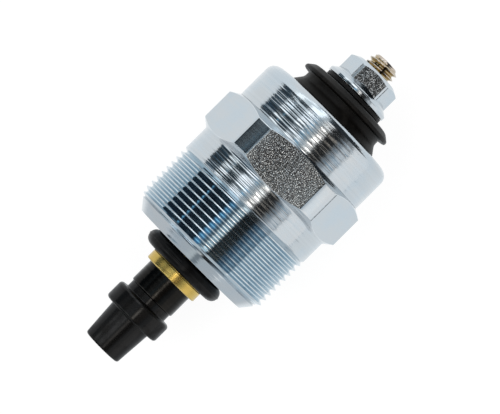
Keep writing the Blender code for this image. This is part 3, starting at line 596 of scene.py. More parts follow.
class EffectLibrary:
    """Builds each effect's node group once, with named inputs and outputs.

    The three numbers of WIDE_MARKS and the like scale the place along the axis and across
    it: a pattern is drawn out the way whose number is small.
    """

    WIDE_MARKS = (PER_MM, 13.0, 13.0)
    FINE_MARKS = (PER_MM, 34.0, 34.0)
    FINE_SPACING = 2.1
    FINE_SHARE = 0.6
    DRIFT = (PER_MM, 60.0, 60.0)
    SAND = (PER_MM, PER_MM, PER_MM)
    SPOTS = (PER_MM, PER_MM, 1.01 * PER_MM)
    SPOT_SPACING = 0.8
    BRIGHTEST_SPOT = 0.68
    LEAST_LEAN = 0.35
    STREAKS = (PER_MM, 20.0, 20.0)
    STREAK_SCALE = 2.2
    FLOW = (1.0, 0.35, 0.35)
    FLOW_SPACING = 0.12
    BLOOM_SCALE = 420.0
    SPECK_SCALE = 3600.0
    LONG_FIBRES = (1.0, 0.12, 1.0)
    CROSS_FIBRES = (1.0, 1.0, 0.12)

    SOCKETS: dict[Effect, tuple[tuple[tuple[str, str, Any], ...], tuple[tuple[str, str], ...]]] = {
        Effect.TURNING: (
            (
                ("Spacing", "NodeSocketFloat", 2.0),
                ("Along", "NodeSocketFloat", 0.5),
                ("Around", "NodeSocketFloat", 0.1),
            ),
            (("Normal", "NodeSocketVector"), ("Streak", "NodeSocketFloat")),
        ),
        Effect.GRAIN: (
            (
                ("Normal", "NodeSocketVector", (0.0, 0.0, 1.0)),
                ("Scale", "NodeSocketFloat", 5.0),
                ("Amount", "NodeSocketFloat", 0.5),
            ),
            (("Normal", "NodeSocketVector"), ("Sparkle", "NodeSocketFloat")),
        ),
        Effect.PLATING: (
            (
                ("Neutral", "NodeSocketColor", (0.6, 0.6, 0.6, 1.0)),
                ("Tinted", "NodeSocketColor", (0.5, 0.6, 0.6, 1.0)),
                ("Cloud Scale", "NodeSocketFloat", 300.0),
                ("Streak Share", "NodeSocketFloat", 0.5),
            ),
            (("Color", "NodeSocketColor"), ("Cloud", "NodeSocketFloat")),
        ),
        Effect.WEAR_HIGHLIGHT_AND_SHADE: (
            (("Amount", "NodeSocketFloat", 1.0), ("Break Up", "NodeSocketFloat", 900.0)),
            (("Mask", "NodeSocketFloat"), ("Corner Shade", "NodeSocketFloat")),
        ),
        Effect.MOULDED: (
            (("Scale", "NodeSocketFloat", 4000.0), ("Flow", "NodeSocketFloat", 0.3)),
            (("Height", "NodeSocketFloat"), ("Bloom", "NodeSocketFloat"), ("Speck", "NodeSocketFloat")),
        ),
        Effect.FIBRES: (
            (("Scale", "NodeSocketFloat", 2500.0),),
            (("Height", "NodeSocketFloat"), ("Fibre", "NodeSocketFloat")),
        ),
    }

    def __init__(self) -> None:
        """Start with no groups."""
        self.groups: dict[Effect, bpy.types.NodeTree] = {}

    def group(self, effect: Effect) -> bpy.types.NodeTree:
        """Return an effect's node group, building it the first time.

        Args:
            effect: the effect, whose value names the method that wires it.

        Returns:
            The node group.
        """
        if effect not in self.groups:
            tree = bpy.data.node_groups.new(effect.value, "ShaderNodeTree")
            inputs, outputs = self.SOCKETS[effect]
            for name, kind, value in inputs:
                socket = tree.interface.new_socket(name, in_out="INPUT", socket_type=kind)
                socket.default_value = value
            for name, kind in outputs:
                tree.interface.new_socket(name, in_out="OUTPUT", socket_type=kind)
            graph = Graph(tree)
            given = graph.node("NodeGroupInput").outputs
            found = getattr(self, effect.value)(graph, given)
            graph.node("NodeGroupOutput", found)
            self.groups[effect] = tree
        return self.groups[effect]

    def use(self, graph: Graph, effect: Effect, sockets: dict[str, Any]) -> ShaderNode:
        """Place an effect in a material.

        Args:
            graph: the material's graph.
            effect: the effect.
            sockets: value or output socket by the group's input name.

        Returns:
            The group's node.
        """
        node = graph.tree.nodes.new("ShaderNodeGroup")
        node.node_tree = self.group(effect)
        graph.fill(node, sockets)
        return node

    def turning_marks(self, graph: Graph, given: Any) -> dict[str, Any]:
        """Grooves that run round the axis: the normal leans along it, and a little round it.

        Two widths of noise, stretched round the axis, lean the normal along the axis, and
        a third turns it round the axis, so that the grooves' reflections end unevenly.

        Args:
            graph: the group's graph.
            given: the group's inputs by name.

        Returns:
            The group's outputs by name.
        """
        normal = graph.node("ShaderNodeNewGeometry").outputs["Normal"]
        around = graph.vector("NORMALIZE", graph.vector("CROSS_PRODUCT", normal, (1.0, 0.0, 0.0)))
        wide = graph.noise(graph.place(self.WIDE_MARKS), given["Spacing"], 1.0, 0.5)
        fine_scale = graph.math("MULTIPLY", given["Spacing"], self.FINE_SPACING)
        fine = graph.noise(graph.place(self.FINE_MARKS), fine_scale, 0.0)
        drift = graph.noise(graph.place(self.DRIFT), given["Spacing"], 1.0, 0.6)
        lean = graph.math("ADD", wide, graph.math("MULTIPLY", fine, self.FINE_SHARE))
        lean = graph.math("SUBTRACT", lean, 0.5 + 0.5 * self.FINE_SHARE)
        lean = graph.math("MULTIPLY", lean, given["Along"])
        swing = graph.math("MULTIPLY", graph.math("SUBTRACT", drift, 0.5), given["Around"])
        leaned = graph.vector("ADD", normal, graph.vector("SCALE", (1.0, 0.0, 0.0), lean))
        leaned = graph.vector("ADD", leaned, graph.vector("SCALE", around, swing))
        streak = graph.spread(wide, 0.35, 0.65, 0.0, 1.0)
        return {"Normal": graph.vector("NORMALIZE", leaned), "Streak": streak}

    def drawn_bar_grain(self, graph: Graph, given: Any) -> dict[str, Any]:
        """Sandy grain: the normal leans any way, and more so in single bright grains.

        Args:
            graph: the group's graph.
            given: the group's inputs by name.

        Returns:
            The group's outputs by name.
        """
        place = graph.place(self.SAND)
        sockets = {"Vector": place, "Scale": given["Scale"], "Detail": 1.0, "Roughness": 0.5}
        sand = graph.node("ShaderNodeTexNoise", sockets).outputs["Color"]
        spot_scale = graph.math("MULTIPLY", given["Scale"], self.SPOT_SPACING)
        spots = graph.noise(graph.place(self.SPOTS), spot_scale, 1.0)
        sparkle = graph.spread(spots, 0.46, 0.64, 0.0, self.BRIGHTEST_SPOT)
        amount = graph.math("MULTIPLY", given["Amount"], graph.math("ADD", sparkle, self.LEAST_LEAN))
        lean = graph.vector("SCALE", graph.vector("SUBTRACT", sand, (0.5, 0.5, 0.5)), amount)
        leaned = graph.vector("NORMALIZE", graph.vector("ADD", given["Normal"], lean))
        return {"Normal": leaned, "Sparkle": sparkle}

    def plating_tint(self, graph: Graph, given: Any) -> dict[str, Any]:
        """Clouds and streaks round the axis between a neutral and a tinted plating colour.

        Args:
            graph: the group's graph.
            given: the group's inputs by name.

        Returns:
            The group's outputs by name.
        """
        cloud = graph.noise(graph.place(), given["Cloud Scale"], 3.0, 0.55)
        streak = graph.noise(graph.place(self.STREAKS), self.STREAK_SCALE, 3.0, 0.6)
        sockets = {0: given["Streak Share"], 2: cloud, 3: streak}
        both = graph.node("ShaderNodeMix", sockets, data_type="FLOAT").outputs[0]
        share = graph.spread(both, 0.36, 0.64, 0.0, 1.0)
        return {"Color": graph.mix(share, given["Neutral"], given["Tinted"]), "Cloud": share}

    def edge_wear_highlight_and_corner_shade(self, graph: Graph, given: Any) -> dict[str, Any]:
        """Lighter fine edges, partly from rubbing and partly a painted highlight, and painted shade in
        inner corners: the mesh's edge value, broken up by noise.

        Args:
            graph: the group's graph.
            given: the group's inputs by name.

        Returns:
            The group's outputs by name.
        """
        edge = graph.attribute("edge")
        broken = graph.noise(graph.place(), given["Break Up"], 2.0)
        broken = graph.spread(broken, 0.3, 0.6, 0.35, 1.0)
        mask = graph.math("MULTIPLY", graph.math("MULTIPLY", edge, broken), given["Amount"], clamp=True)
        painted_corner_shade = graph.math("MULTIPLY", graph.math("MULTIPLY", edge, -1.0, clamp=True), broken, clamp=True)
        return {"Mask": mask, "Corner Shade": painted_corner_shade}

    def moulded_skin(self, graph: Graph, given: Any) -> dict[str, Any]:
        """Moulded skin: fine pores, soft flow waves, a grey bloom and single specks.

        Args:
            graph: the group's graph.
            given: the group's inputs by name.

        Returns:
            The group's outputs by name.
        """
        place = graph.place()
        pores = graph.noise(place, given["Scale"], 4.0, 0.6)
        flow_scale = graph.math("MULTIPLY", given["Scale"], self.FLOW_SPACING)
        flow = graph.noise(graph.place(self.FLOW), flow_scale, 2.0)
        height = graph.math("ADD", pores, graph.math("MULTIPLY", flow, given["Flow"]))
        bloom = graph.spread(graph.noise(place, self.BLOOM_SCALE, 4.0, 0.6), 0.45, 0.7, 0.0, 1.0)
        speck = graph.spread(graph.noise(place, self.SPECK_SCALE, 1.0), 0.70, 0.76, 0.0, 1.0)
        return {"Height": height, "Bloom": bloom, "Speck": speck}

    def pressed_fibres(self, graph: Graph, given: Any) -> dict[str, Any]:
        """Fibres pressed flat in a sheet, seen as short crossing threads.

        Args:
            graph: the group's graph.
            given: the group's inputs by name.

        Returns:
            The group's outputs by name.
        """
        long_way = graph.noise(graph.place(self.LONG_FIBRES), given["Scale"], 2.0)
        cross_way = graph.noise(graph.place(self.CROSS_FIBRES), given["Scale"], 2.0)
        fibre = graph.math("MAXIMUM", long_way, cross_way)
        return {"Height": fibre, "Fibre": graph.spread(fibre, 0.5, 0.7, 0.0, 1.0)}


# Finishes


EFFECTS = EffectLibrary()


def empty_graph(owner: Any) -> Graph:
    """Empty a node tree to build it anew.

    Args:
        owner: a material or a world.

    Returns:
        The graph of its tree.
    """
    owner.use_nodes = True
    owner.node_tree.nodes.clear()
    return Graph(owner.node_tree)


def new_material(name: str) -> tuple[Material, Graph, ShaderNode]:
    """Make a material with one Principled shader.

    Args:
        name: name of the finish.

    Returns:
        The material, its graph and its shader.
    """
    material = bpy.data.materials.new(name)
    graph = empty_graph(material)
    shader = graph.node("ShaderNodeBsdfPrincipled")
    graph.node("ShaderNodeOutputMaterial", {"Surface": shader.outputs[0]})
    return material, graph, shader


@dataclass(frozen=True)
class MetalFinish:
    """Machined metal: turning marks, grain on milled flats, tinted plating, edges lighter from rubbing and
    a painted highlight, and painted shade in inner corners and between grains.

    groove is the colour deep in a thread; along and around are how far turning marks lean
    the surface along the axis and round it, and grain how far milled grain leans it. The
    shades are factors: of the plating between streaks, of the painted shade between bright
    grains, of the tint for the painted shade in inner corners and of that painted grain shade
    where the grain is coarse. The lighter colour of fine edges and thread crests is partly
    from rubbing and partly a painted highlight. thread_gloss is a factor of the roughness.
    """

    name: str
    neutral: Colour
    tinted: Colour
    # Colour of fine edges and thread crests: partly from rubbing, partly a painted highlight.
    worn_highlight: Colour
    groove: Colour
    roughness: float = 0.10
    roughness_spread: float = 0.05
    spacing: float = 3.3
    along: float = 0.60
    around: float = 0.07
    grain: float = 0.8
    grain_scale: float = 8.0
    streak_share: float = 0.3
    streak_shade: float = 0.97
    # Painted shade between bright grains, where the grain mask is strong.
    grain_painted_shade: float = 0.09
    wear_and_painted_light: float = 0.5
    cloud_scale: float = 260.0
    # Painted shade in inner corners, as a factor of the tint.
    corner_shade_factor: float = 0.35
    coarse_grain_painted_shade: float = 0.66
    thread_gloss: float = 0.55

    def build(self) -> Material:
        """Make the metal's material.

        Plating colour is darkened by turning streaks and, as painted shade, between bright
        grains; it takes the groove's colour deep in threads, is lighter on fine edges and crests,
        partly from rubbing and partly as a painted highlight, and is painted dark in inner corners
        as painted shade.

        Returns:
            The material.
        """
        material, graph, shader = new_material(self.name)
        grain, calm, thread = (graph.attribute(mask) for mask in ("grain", "calm", "thread"))
        lively = graph.math("SUBTRACT", 1.0, calm)
        turning = EFFECTS.use(
            graph,
            Effect.TURNING,
            {
                "Spacing": self.spacing,
                "Along": graph.math("MULTIPLY", lively, self.along),
                "Around": graph.math("MULTIPLY", lively, self.around),
            },
        )
        sand = EFFECTS.use(
            graph,
            Effect.GRAIN,
            {
                "Normal": turning.outputs["Normal"],
                "Scale": self.grain_scale,
                "Amount": graph.math("MULTIPLY", grain, self.grain),
            },
        )
        plating = EFFECTS.use(
            graph,
            Effect.PLATING,
            {
                "Neutral": (*self.neutral, 1.0),
                "Tinted": (*self.tinted, 1.0),
                "Cloud Scale": self.cloud_scale,
                "Streak Share": self.streak_share,
            },
        )
        wear_and_painted_light = EFFECTS.use(graph, Effect.WEAR_HIGHLIGHT_AND_SHADE, {"Amount": self.wear_and_painted_light})
        # Painted shade between bright grains wherever the grain mask is strong: the flats facing up and
        # down and the crown; less where the grain is coarsest.
        painted_grain_shade = graph.spread(grain, 0.3, 0.6, 0.0, 1.0)
        coarse = graph.spread(grain, 0.6, 1.1, 1.0, self.coarse_grain_painted_shade)
        painted_grain_shade = graph.math("MULTIPLY", painted_grain_shade, coarse)
        colour = plating.outputs["Color"]
        colour = self.shaded(graph, colour, turning.outputs["Streak"], self.streak_shade, lively)
        colour = self.shaded(graph, colour, sand.outputs["Sparkle"], self.grain_painted_shade, painted_grain_shade)
        crest = graph.math("MAXIMUM", graph.attribute("edge"), 0.0)
        deep = graph.math("MULTIPLY", thread, graph.math("SUBTRACT", 1.0, crest))
        colour = graph.mix(deep, colour, self.groove)
        # Fine edges and crests lighter: partly from rubbing, partly a painted highlight.
        colour = graph.mix(wear_and_painted_light.outputs["Mask"], colour, self.worn_highlight)
        # Painted shade in inner corners.
        painted_corner_shade = tuple(self.corner_shade_factor * part for part in self.tinted)
        colour = graph.mix(wear_and_painted_light.outputs["Corner Shade"], colour, painted_corner_shade)
        uneven = graph.math("MULTIPLY", plating.outputs["Cloud"], self.roughness_spread)
        roughness = graph.math("ADD", uneven, self.roughness)
        gloss = graph.spread(thread, 0.0, 1.0, 1.0, self.thread_gloss)
        roughness = graph.math("MULTIPLY", roughness, gloss)
        sockets = {"Base Color": colour, "Roughness": roughness, "Normal": sand.outputs["Normal"]}
        graph.fill(shader, {"Metallic": 1.0, **sockets})
        return material

    def shaded(self, graph: Graph, colour: Any, light: Any, shade: float, where: Any) -> Socket:
        """Darken a colour by the shade where light is 0, as far as the mask where is 1.

        Args:
            graph: the material's graph.
            colour: colour socket.
            light: socket that is 1 where the colour stays.
            shade: factor where light is 0.
            where: mask socket.

        Returns:
            The colour.
        """
        grey = graph.mix(light, (shade, shade, shade), (1.0, 1.0, 1.0))
        return graph.mix(where, colour, graph.mix(1.0, colour, grey, "MULTIPLY"))


@dataclass(frozen=True)
class MouldedFinish:
    """Rubber or plastic: moulded skin with pores, bloom, specks and lighter edges, partly from rubbing and
    partly a painted highlight.

    The shares say how much of the bloom's colour shows in the bloom itself, on the lighter
    edges and in specks. oil is the weight of a thin film over it all.
    """

    name: str
    base: Colour
    bloom: Colour
    bloom_share: float = 0.35
    roughness: float = 0.5
    roughness_spread: float = 0.12
    pore_scale: float = 4000.0
    pore_depth: float = 0.004
    flow: float = 1.5
    specular: float = 0.18
    oil: float = 0.0
    oil_roughness: float = 0.13
    wear_and_painted_light: float = 0.3
    wear_break_up: float = 1400.0
    rubbed_highlight_share: float = 0.6
    speck_share: float = 0.5

    def build(self) -> Material:
        """Make the moulded material, with an uneven film of oil where oil is above 0.

        Returns:
            The material.
        """
        material, graph, shader = new_material(self.name)
        moulded = EFFECTS.use(graph, Effect.MOULDED, {"Scale": self.pore_scale, "Flow": self.flow})
        wear_and_painted_light = EFFECTS.use(graph, Effect.WEAR_HIGHLIGHT_AND_SHADE, {"Amount": self.wear_and_painted_light, "Break Up": self.wear_break_up})
        bloom = graph.math("MULTIPLY", moulded.outputs["Bloom"], self.bloom_share)
        # Lighter fine edges: partly from rubbing, partly a painted highlight.
        rubbed_highlight = graph.math("MULTIPLY", wear_and_painted_light.outputs["Mask"], self.rubbed_highlight_share)
        bloom = graph.math("ADD", bloom, rubbed_highlight, clamp=True)
        specks = graph.math("MULTIPLY", moulded.outputs["Speck"], self.speck_share)
        bloom = graph.math("ADD", bloom, specks, clamp=True)
        colour = graph.mix(bloom, self.base, self.bloom)
        uneven = graph.math("MULTIPLY", moulded.outputs["Bloom"], self.roughness_spread)
        sockets = {
            "Base Color": colour,
            "Roughness": graph.math("ADD", uneven, self.roughness),
            "Normal": graph.raised(moulded.outputs["Height"], self.pore_depth),
            "Specular IOR Level": self.specular,
        }
        if self.oil > 0.0:
            film = graph.math("SUBTRACT", 1.3, moulded.outputs["Bloom"])
            sockets["Coat Weight"] = graph.math("MULTIPLY", film, self.oil, clamp=True)
            sockets["Coat Roughness"] = self.oil_roughness
        graph.fill(shader, sockets)
        return material


@dataclass(frozen=True)
class FibreFinish:
    """Pressed laminate or film: flat fibres in a binder."""

    name: str
    binder: Colour
    fibre: Colour
    roughness: float = 0.45
    fibre_scale: float = 2500.0
    fibre_depth: float = 0.003
    coat: float = 0.0
    specular: float = 0.4
    cloud_share: float = 0.25
    roughness_spread: float = 0.1

    def build(self) -> Material:
        """Make the laminate's or film's material.

        Returns:
            The material.
        """
        material, graph, shader = new_material(self.name)
        fibres = EFFECTS.use(graph, Effect.FIBRES, {"Scale": self.fibre_scale})
        moulded = EFFECTS.use(graph, Effect.MOULDED, {"Scale": 3000.0, "Flow": 0.5})
        colour = graph.mix(fibres.outputs["Fibre"], self.binder, self.fibre)
        share = graph.math("MULTIPLY", moulded.outputs["Bloom"], self.cloud_share)
        uneven = graph.math("MULTIPLY", fibres.outputs["Fibre"], self.roughness_spread)
        sockets = {
            "Base Color": graph.mix(share, colour, self.fibre),
            "Roughness": graph.math("ADD", uneven, self.roughness),
            "Normal": graph.raised(fibres.outputs["Height"], self.fibre_depth),
            "Coat Weight": self.coat,
            "Specular IOR Level": self.specular,
        }
        graph.fill(shader, sockets)
        return material


@dataclass(frozen=True)
class WoundFinish:
    """Enamelled wire laid side by side: a ridge for every turn along the axis."""

    name: str
    wire: Colour
    gap: Colour
    turns_per_mm: float = 4.0
    ridge_depth: float = 0.05
    roughness: float = 0.25
    roughness_spread: float = 0.15
    metallic: float = 0.85
    dirt_share: float = 0.3

    def build(self) -> Material:
        """Make the winding's material, from a sine wave along the axis.

        Returns:
            The material.
        """
        material, graph, shader = new_material(self.name)
        waves = self.turns_per_mm * PER_MM / FULL_TURN
        wave = graph.node(
            "ShaderNodeTexWave",
            {"Vector": graph.place(), "Scale": waves, "Distortion": 0.4, "Detail": 1.0},
            wave_type="BANDS",
            bands_direction="X",
            wave_profile="SIN",
        )
        moulded = EFFECTS.use(graph, Effect.MOULDED, {"Scale": 2500.0, "Flow": 0.5})
        colour = graph.mix(graph.spread(wave.outputs["Fac"], 0.1, 0.6, 0.0, 1.0), self.gap, self.wire)
        share = graph.math("MULTIPLY", moulded.outputs["Bloom"], self.dirt_share)
        uneven = graph.math("MULTIPLY", moulded.outputs["Bloom"], self.roughness_spread)
        sockets = {
            "Base Color": graph.mix(share, colour, self.gap),
            "Roughness": graph.math("ADD", uneven, self.roughness),
            "Normal": graph.raised(wave.outputs["Fac"], self.ridge_depth),
            "Metallic": self.metallic,
        }
        graph.fill(shader, sockets)
        return material


# Pieces


def along(node: str, end: int) -> float:
    """Return where a node starts (0) or ends (1) along the axis, in millimetres."""
    return (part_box(node)[end].x - NOSE_FACE) / MM


def station(node: str, end: int) -> Any:
    """Return a dataclass field that reads a node's start (0) or end (1) from the frame."""
    return field(default_factory=lambda: along(node, end))


@dataclass
class Stations:
    """Places along the axis, in millimetres from the nose face, read from the frame."""

    crown_top: float = station("housing", 1)
    cap_top: float = station("rubber_cap", 1)
    washer_bottom: float = station("insulating_washer", 0)
    washer_top: float = station("insulating_washer", 1)
    nut_bottom: float = station("flange_nut", 0)
    nut_top: float = station("flange_nut", 1)
    stud_top: float = station("terminal_stud", 1)
    stud_bottom: float = station("terminal_stud", 0)
    tube_top: float = station("guide_tube", 1)
    tube_end: float = station("guide_tube", 0)
    armature_top: float = station("armature", 1)
    tip_top: float = station("valve_tip", 1)
    tip_end: float = station("valve_tip", 0)


@dataclass
class Housing:
    """Threaded housing in one piece: nose, thread, shoulder, hexagon, crown, rolled lip.

    level_flat is the least share that a flat faces up or down to count as level. Level
    flats have more grain, changed across each flat, and the slanted ones less. Where the
    grain is strong it also paints shade between the bright grains, so the flats facing up
    and down and the crown are painted darker than the slanted flats.
    """

    stations: Stations
    turn_step: float = 1.25
    rounding_steps: int = 6
    crest: float = 11.95
    thread_depth: float = 0.613
    pitch: float = 1.0
    runout: float = 0.8
    nose_radius: float = 9.97
    chamfer_height: float = 2.45
    thread_end: float = 11.35
    shoulder: float = 11.88
    hex_base: float = 15.07
    hex_top: float = 22.0
    apothem: float = 12.0
    corner: float = 13.18
    lower_chamfer: float = 1.0
    upper_chamfer: float = 0.87
    crown: float = 11.76
    crown_edge: float = 1.8
    lip: float = 8.5
    lip_thickness: float = 1.5
    cover_bore: float = 10.1
    ledge: float = 18.54
    chamber: float = 9.6
    nose_wall: float = 2.6
    nose_bore: float = 4.45
    hex_edge: float = 0.13
    fine_edge: float = 0.15
    foot_edge: float = 0.45
    lip_edge: float = 0.25
    hex_calm: float = 0.96
    corner_blend: float = 0.06
    flat_blend: float = 0.12
    level_flat: float = 0.8
    # Grain of the flats facing up and down, changing across each flat; it also paints shade between its
    # bright grains.
    level_grain_and_shade: float = 0.70
    grain_and_shade_slope: float = 0.44
    slanted_grain: float = 0.12
    rim_grain: float = 0.32
    # Grain of the crown; it also paints shade between its bright grains.
    crown_grain_and_shade: float = 0.45
    relief_height: float = 1.58
    relief_width: float = 0.40
    relief_depth: float = 0.22

    def build(self, material: Material) -> Piece:
        """Build the housing and put it on the valve's body.

        Args:
            material: the plated finish.

        Returns:
            The finished piece.
        """
        land_edge = math.degrees(math.acos(self.apothem / self.corner))
        turn = hexagon_turn(self.turn_step, land_edge)
        flat = self.apothem / np.cos(from_flat_middle(turn))
        wall = soft_least(flat, np.full(len(turn), self.corner), self.corner_blend)
        lower_share = (wall - self.shoulder) / (self.corner - self.shoulder)
        upper_share = (wall - self.crown) / (self.corner - self.crown)
        lower = self.hex_base + lower_share * self.lower_chamfer
        upper = self.hex_top - upper_share * self.upper_chamfer
        gain = (self.crest - self.nose_radius) / self.chamfer_height
        thread_start = self.relief_height + 0.5 * self.relief_width
        relief = self.nose_radius + self.relief_height * gain - self.relief_depth
        held = self.relief_height - HOLD
        top = self.stations.crown_top
        on_flat = np.clip((self.corner - wall) / self.flat_blend, 0.0, 1.0)
        is_level = np.abs(np.cos(turn)) > self.level_flat
        across = self.level_grain_and_shade - self.grain_and_shade_slope * np.sin(turn)
        grain = on_flat * np.where(is_level, across, self.slanted_grain)
        hex_calm = self.hex_calm + (1.0 - self.hex_calm) * on_flat
        body = turned_patch(
            [
                Corner(self.thread_end, self.shoulder),
                Corner(self.thread_end + HOLD, self.shoulder),
                Corner(self.hex_base, self.shoulder, self.foot_edge, calm=0.6),
                Corner(lower, wall, self.hex_edge, grain=grain, calm=hex_calm),
                Corner(upper, wall, self.hex_edge, calm=0.6),
                Corner(self.hex_top, self.crown, self.fine_edge),
                Corner(
                    top,
                    self.crown,
                    self.crown_edge,
                    grain=self.crown_grain_and_shade,
                    calm=0.2,
                    rolled=self.rim_grain,
                ),
                Corner(top, self.lip, self.lip_edge),
                Corner(top - self.lip_thickness, self.lip),
                Corner(top - self.lip_thickness, self.cover_bore),
                Corner(self.ledge, self.cover_bore),
                Corner(self.ledge, self.chamber),
                Corner(self.nose_wall, self.chamber),
                Corner(self.nose_wall, self.nose_bore),
                Corner(0.0, self.nose_bore, self.fine_edge),
                Corner(0.0, self.nose_radius, self.hex_edge, calm=0.5),
                Corner(held, self.nose_radius + held * gain, calm=0.6),
                Corner(self.relief_height, self.nose_radius + self.relief_height * gain, calm=0.6),
                Corner(thread_start, relief),
            ],
            turn,
            self.rounding_steps,
        )
        thread = Thread(
            crest=self.crest,
            depth=self.thread_depth,
            pitch=self.pitch,
            start=thread_start,
            start_radius=relief,
            start_fade=0.5 * self.relief_width,
            cone_radius=self.nose_radius + thread_start * gain,
            cone_gain=gain,
            end=self.thread_end,
            end_radius=self.shoulder,
            end_fade=self.runout * self.pitch,
        ).patch(turn)
        piece = skin("threaded_housing", [body, thread])
        return settle(piece, "housing", Body.VALVE, material)


@dataclass
class FlangeNut:
    """Hexagon nut with a turned top and a cone flange, bored to clear the stud."""

    stations: Stations
    turn_step: float = 2.5
    narrow_step: float = 0.4
    apothem: float = 4.0
    corner: float = 4.53
    flange: float = 5.38
    rim: float = 0.57
    flange_slope: float = math.radians(37.0)
    top_face: float = 3.4
    top_slope: float = math.radians(30.0)
    bore: float = 2.45
    bore_chamfer: float = 0.35
    bore_edge: float = 0.05
    top_gap: float = 0.25
    under_edge: float = 0.06
    rim_edge: float = 0.12
    foot_edge: float = 0.05
    head_edge: float = 0.07
    top_edge: float = 0.08
    corner_blend: float = 0.03
    flat_blend: float = 0.05
    level_flat: float = 0.8
    # Grain of the flats facing up and down; it also paints shade between its bright grains.
    level_grain_and_shade: float = 0.62
    slanted_grain: float = 0.06

    def build(self, material: Material) -> Piece:
        """Build the nut and put it on the valve's body.

        Args:
            material: the piece's finish.

        Returns:
            The finished piece.
        """
        land_edge = math.degrees(math.acos(self.apothem / self.corner))
        turn = hexagon_turn(self.turn_step, land_edge, self.narrow_step)
        flat = self.apothem / np.cos(from_flat_middle(turn))
        wall = soft_least(flat, np.full(len(turn), self.corner), self.corner_blend)
        on_flat = np.clip((self.corner - wall) / self.flat_blend, 0.0, 1.0)
        is_level = np.abs(np.cos(turn)) > self.level_flat
        grain = np.where(is_level, self.level_grain_and_shade, self.slanted_grain) * on_flat
        bottom, top = self.stations.nut_bottom, self.stations.nut_top - self.top_gap
        foot = bottom + self.rim + (self.flange - wall) * math.tan(self.flange_slope)
        head = top - (wall - self.top_face) * math.tan(self.top_slope)
        body = turned_patch(
            [
                Corner(top - self.bore_chamfer, self.bore),
                Corner(bottom + self.bore_chamfer, self.bore),
                Corner(bottom, self.bore + self.bore_chamfer),
                Corner(bottom, self.flange, self.under_edge),
                Corner(bottom + self.rim, self.flange, self.rim_edge, calm=0.4),
                Corner(foot, wall, self.foot_edge, grain=grain, calm=1.0),
                Corner(head, wall, self.head_edge, calm=0.6),
                Corner(top, self.top_face, self.top_edge),
                Corner(top, self.bore + self.bore_chamfer, self.bore_edge),
                Corner(top - self.bore_chamfer, self.bore),
            ],
            turn,
        )
        piece = skin("cone_flange_nut", [body])
        return settle(piece, "flange_nut", Body.VALVE, material)


@dataclass
class TerminalStud:
    """Threaded terminal stud with its flat head inside the base."""

    stations: Stations
    columns: int = 96
    radius: float = 2.4
    depth: float = 0.49
    pitch: float = 0.8
    thread_length: float = 6.0
    tip_chamfer: float = 0.22
    head: float = 3.6
    head_thickness: float = 1.0
    head_edge: float = 0.1
    neck_edge: float = 0.05
    tip_edge: float = 0.1
    tip_taper: float = 0.8
    tip_dimple: float = 0.35
    dimple_start: float = 0.04
    dimple_depth: float = 0.12
    runout: float = 0.7

    def build(self, material: Material) -> Piece:
        """Build the stud and put it on the valve's body.

        Args:
            material: the piece's finish.

        Returns:
            The finished piece.
        """
        turn = even_turn(self.columns)
        top, bottom = self.stations.stud_top, self.stations.stud_bottom
        start = top - self.thread_length
        end = top - self.tip_chamfer
        root = self.radius - self.depth
        shank = turned_patch(
            [
                Corner(bottom, 0.0),
                Corner(bottom, self.head, self.head_edge),
                Corner(bottom + self.head_thickness, self.head, self.head_edge),
                Corner(bottom + self.head_thickness, self.radius, self.neck_edge),
                Corner(start, self.radius),
            ],
            turn,
        )
        tip = turned_patch(
            [
                Corner(end, root),
                Corner(top, root - self.tip_taper * self.tip_chamfer, self.tip_edge),
                Corner(top - self.dimple_start, self.tip_dimple * root, self.tip_edge),
                Corner(top - self.dimple_depth, 0.0),
            ],
            turn,
        )
        thread = Thread(
            crest=self.radius,
            depth=self.depth,
            pitch=self.pitch,
            start=start,
            start_radius=self.radius,
            start_fade=self.pitch,
            end=end,
            end_radius=root,
            end_fade=self.runout * self.depth,
        ).patch(turn)
        piece = skin("threaded_stud", [shank, thread, tip])
        return settle(piece, "terminal_stud", Body.VALVE, material)


@dataclass
class RubberCap:
    """Rubber cap: foot under the lip, V groove, neck and a drooping domed flange."""

    stations: Stations
    columns: int = 160
    rounding_steps: int = 8
    foot_depth: float = 1.6
    foot_thickness: float = 1.2
    foot: float = 10.05
    waist: float = 8.1
    neck: float = 7.1
    flange: float = 8.15
    bore: float = 2.45
    groove: float = 1.35
    neck_length: float = 1.04
    waist_rise: float = 0.3
    lip_height: float = 0.5
    slope_width: float = 1.0
    slope_height: float = 0.8
    seat: float = 5.8
    foot_edge: float = 0.15
    waist_edge: float = 0.35
    neck_edge: float = 1.1
    flange_corner: float = 0.25
    flange_edge: float = 0.3
    lip_edge: float = 0.35
    dome_edge: float = 0.9
    seat_edge: float = 0.4

    def build(self, material: Material) -> Piece:
        """Build the cap and put it on the valve's body.

        Args:
            material: the piece's finish.

        Returns:
            The finished piece.
        """
        crown = self.stations.crown_top
        top = self.stations.cap_top
        foot_top = crown - self.foot_depth
        groove_bottom = crown + self.waist_rise
        neck_bottom = groove_bottom + self.groove
        flange_bottom = neck_bottom + self.neck_length
        lip_top = flange_bottom + self.lip_height
        body = turned_patch(
            [
                Corner(top, self.bore),
                Corner(foot_top - self.foot_thickness, self.bore),
                Corner(foot_top - self.foot_thickness, self.foot, self.foot_edge),
                Corner(foot_top, self.foot, self.foot_edge),
                Corner(foot_top, self.waist),
                Corner(groove_bottom, self.waist, self.waist_edge),
                Corner(neck_bottom, self.neck, self.neck_edge),
                Corner(flange_bottom, self.neck, self.flange_corner),
                Corner(flange_bottom, self.flange, self.flange_edge),
                Corner(lip_top, self.flange, self.lip_edge),
                Corner(lip_top + self.slope_height, self.flange - self.slope_width, self.dome_edge),
                Corner(top, self.seat, self.seat_edge),
                Corner(top, self.bore),
            ],
            even_turn(self.columns),
            self.rounding_steps,
        )
        piece = skin("moulded_cap", [body])
        return settle(piece, "rubber_cap", Body.VALVE, material)


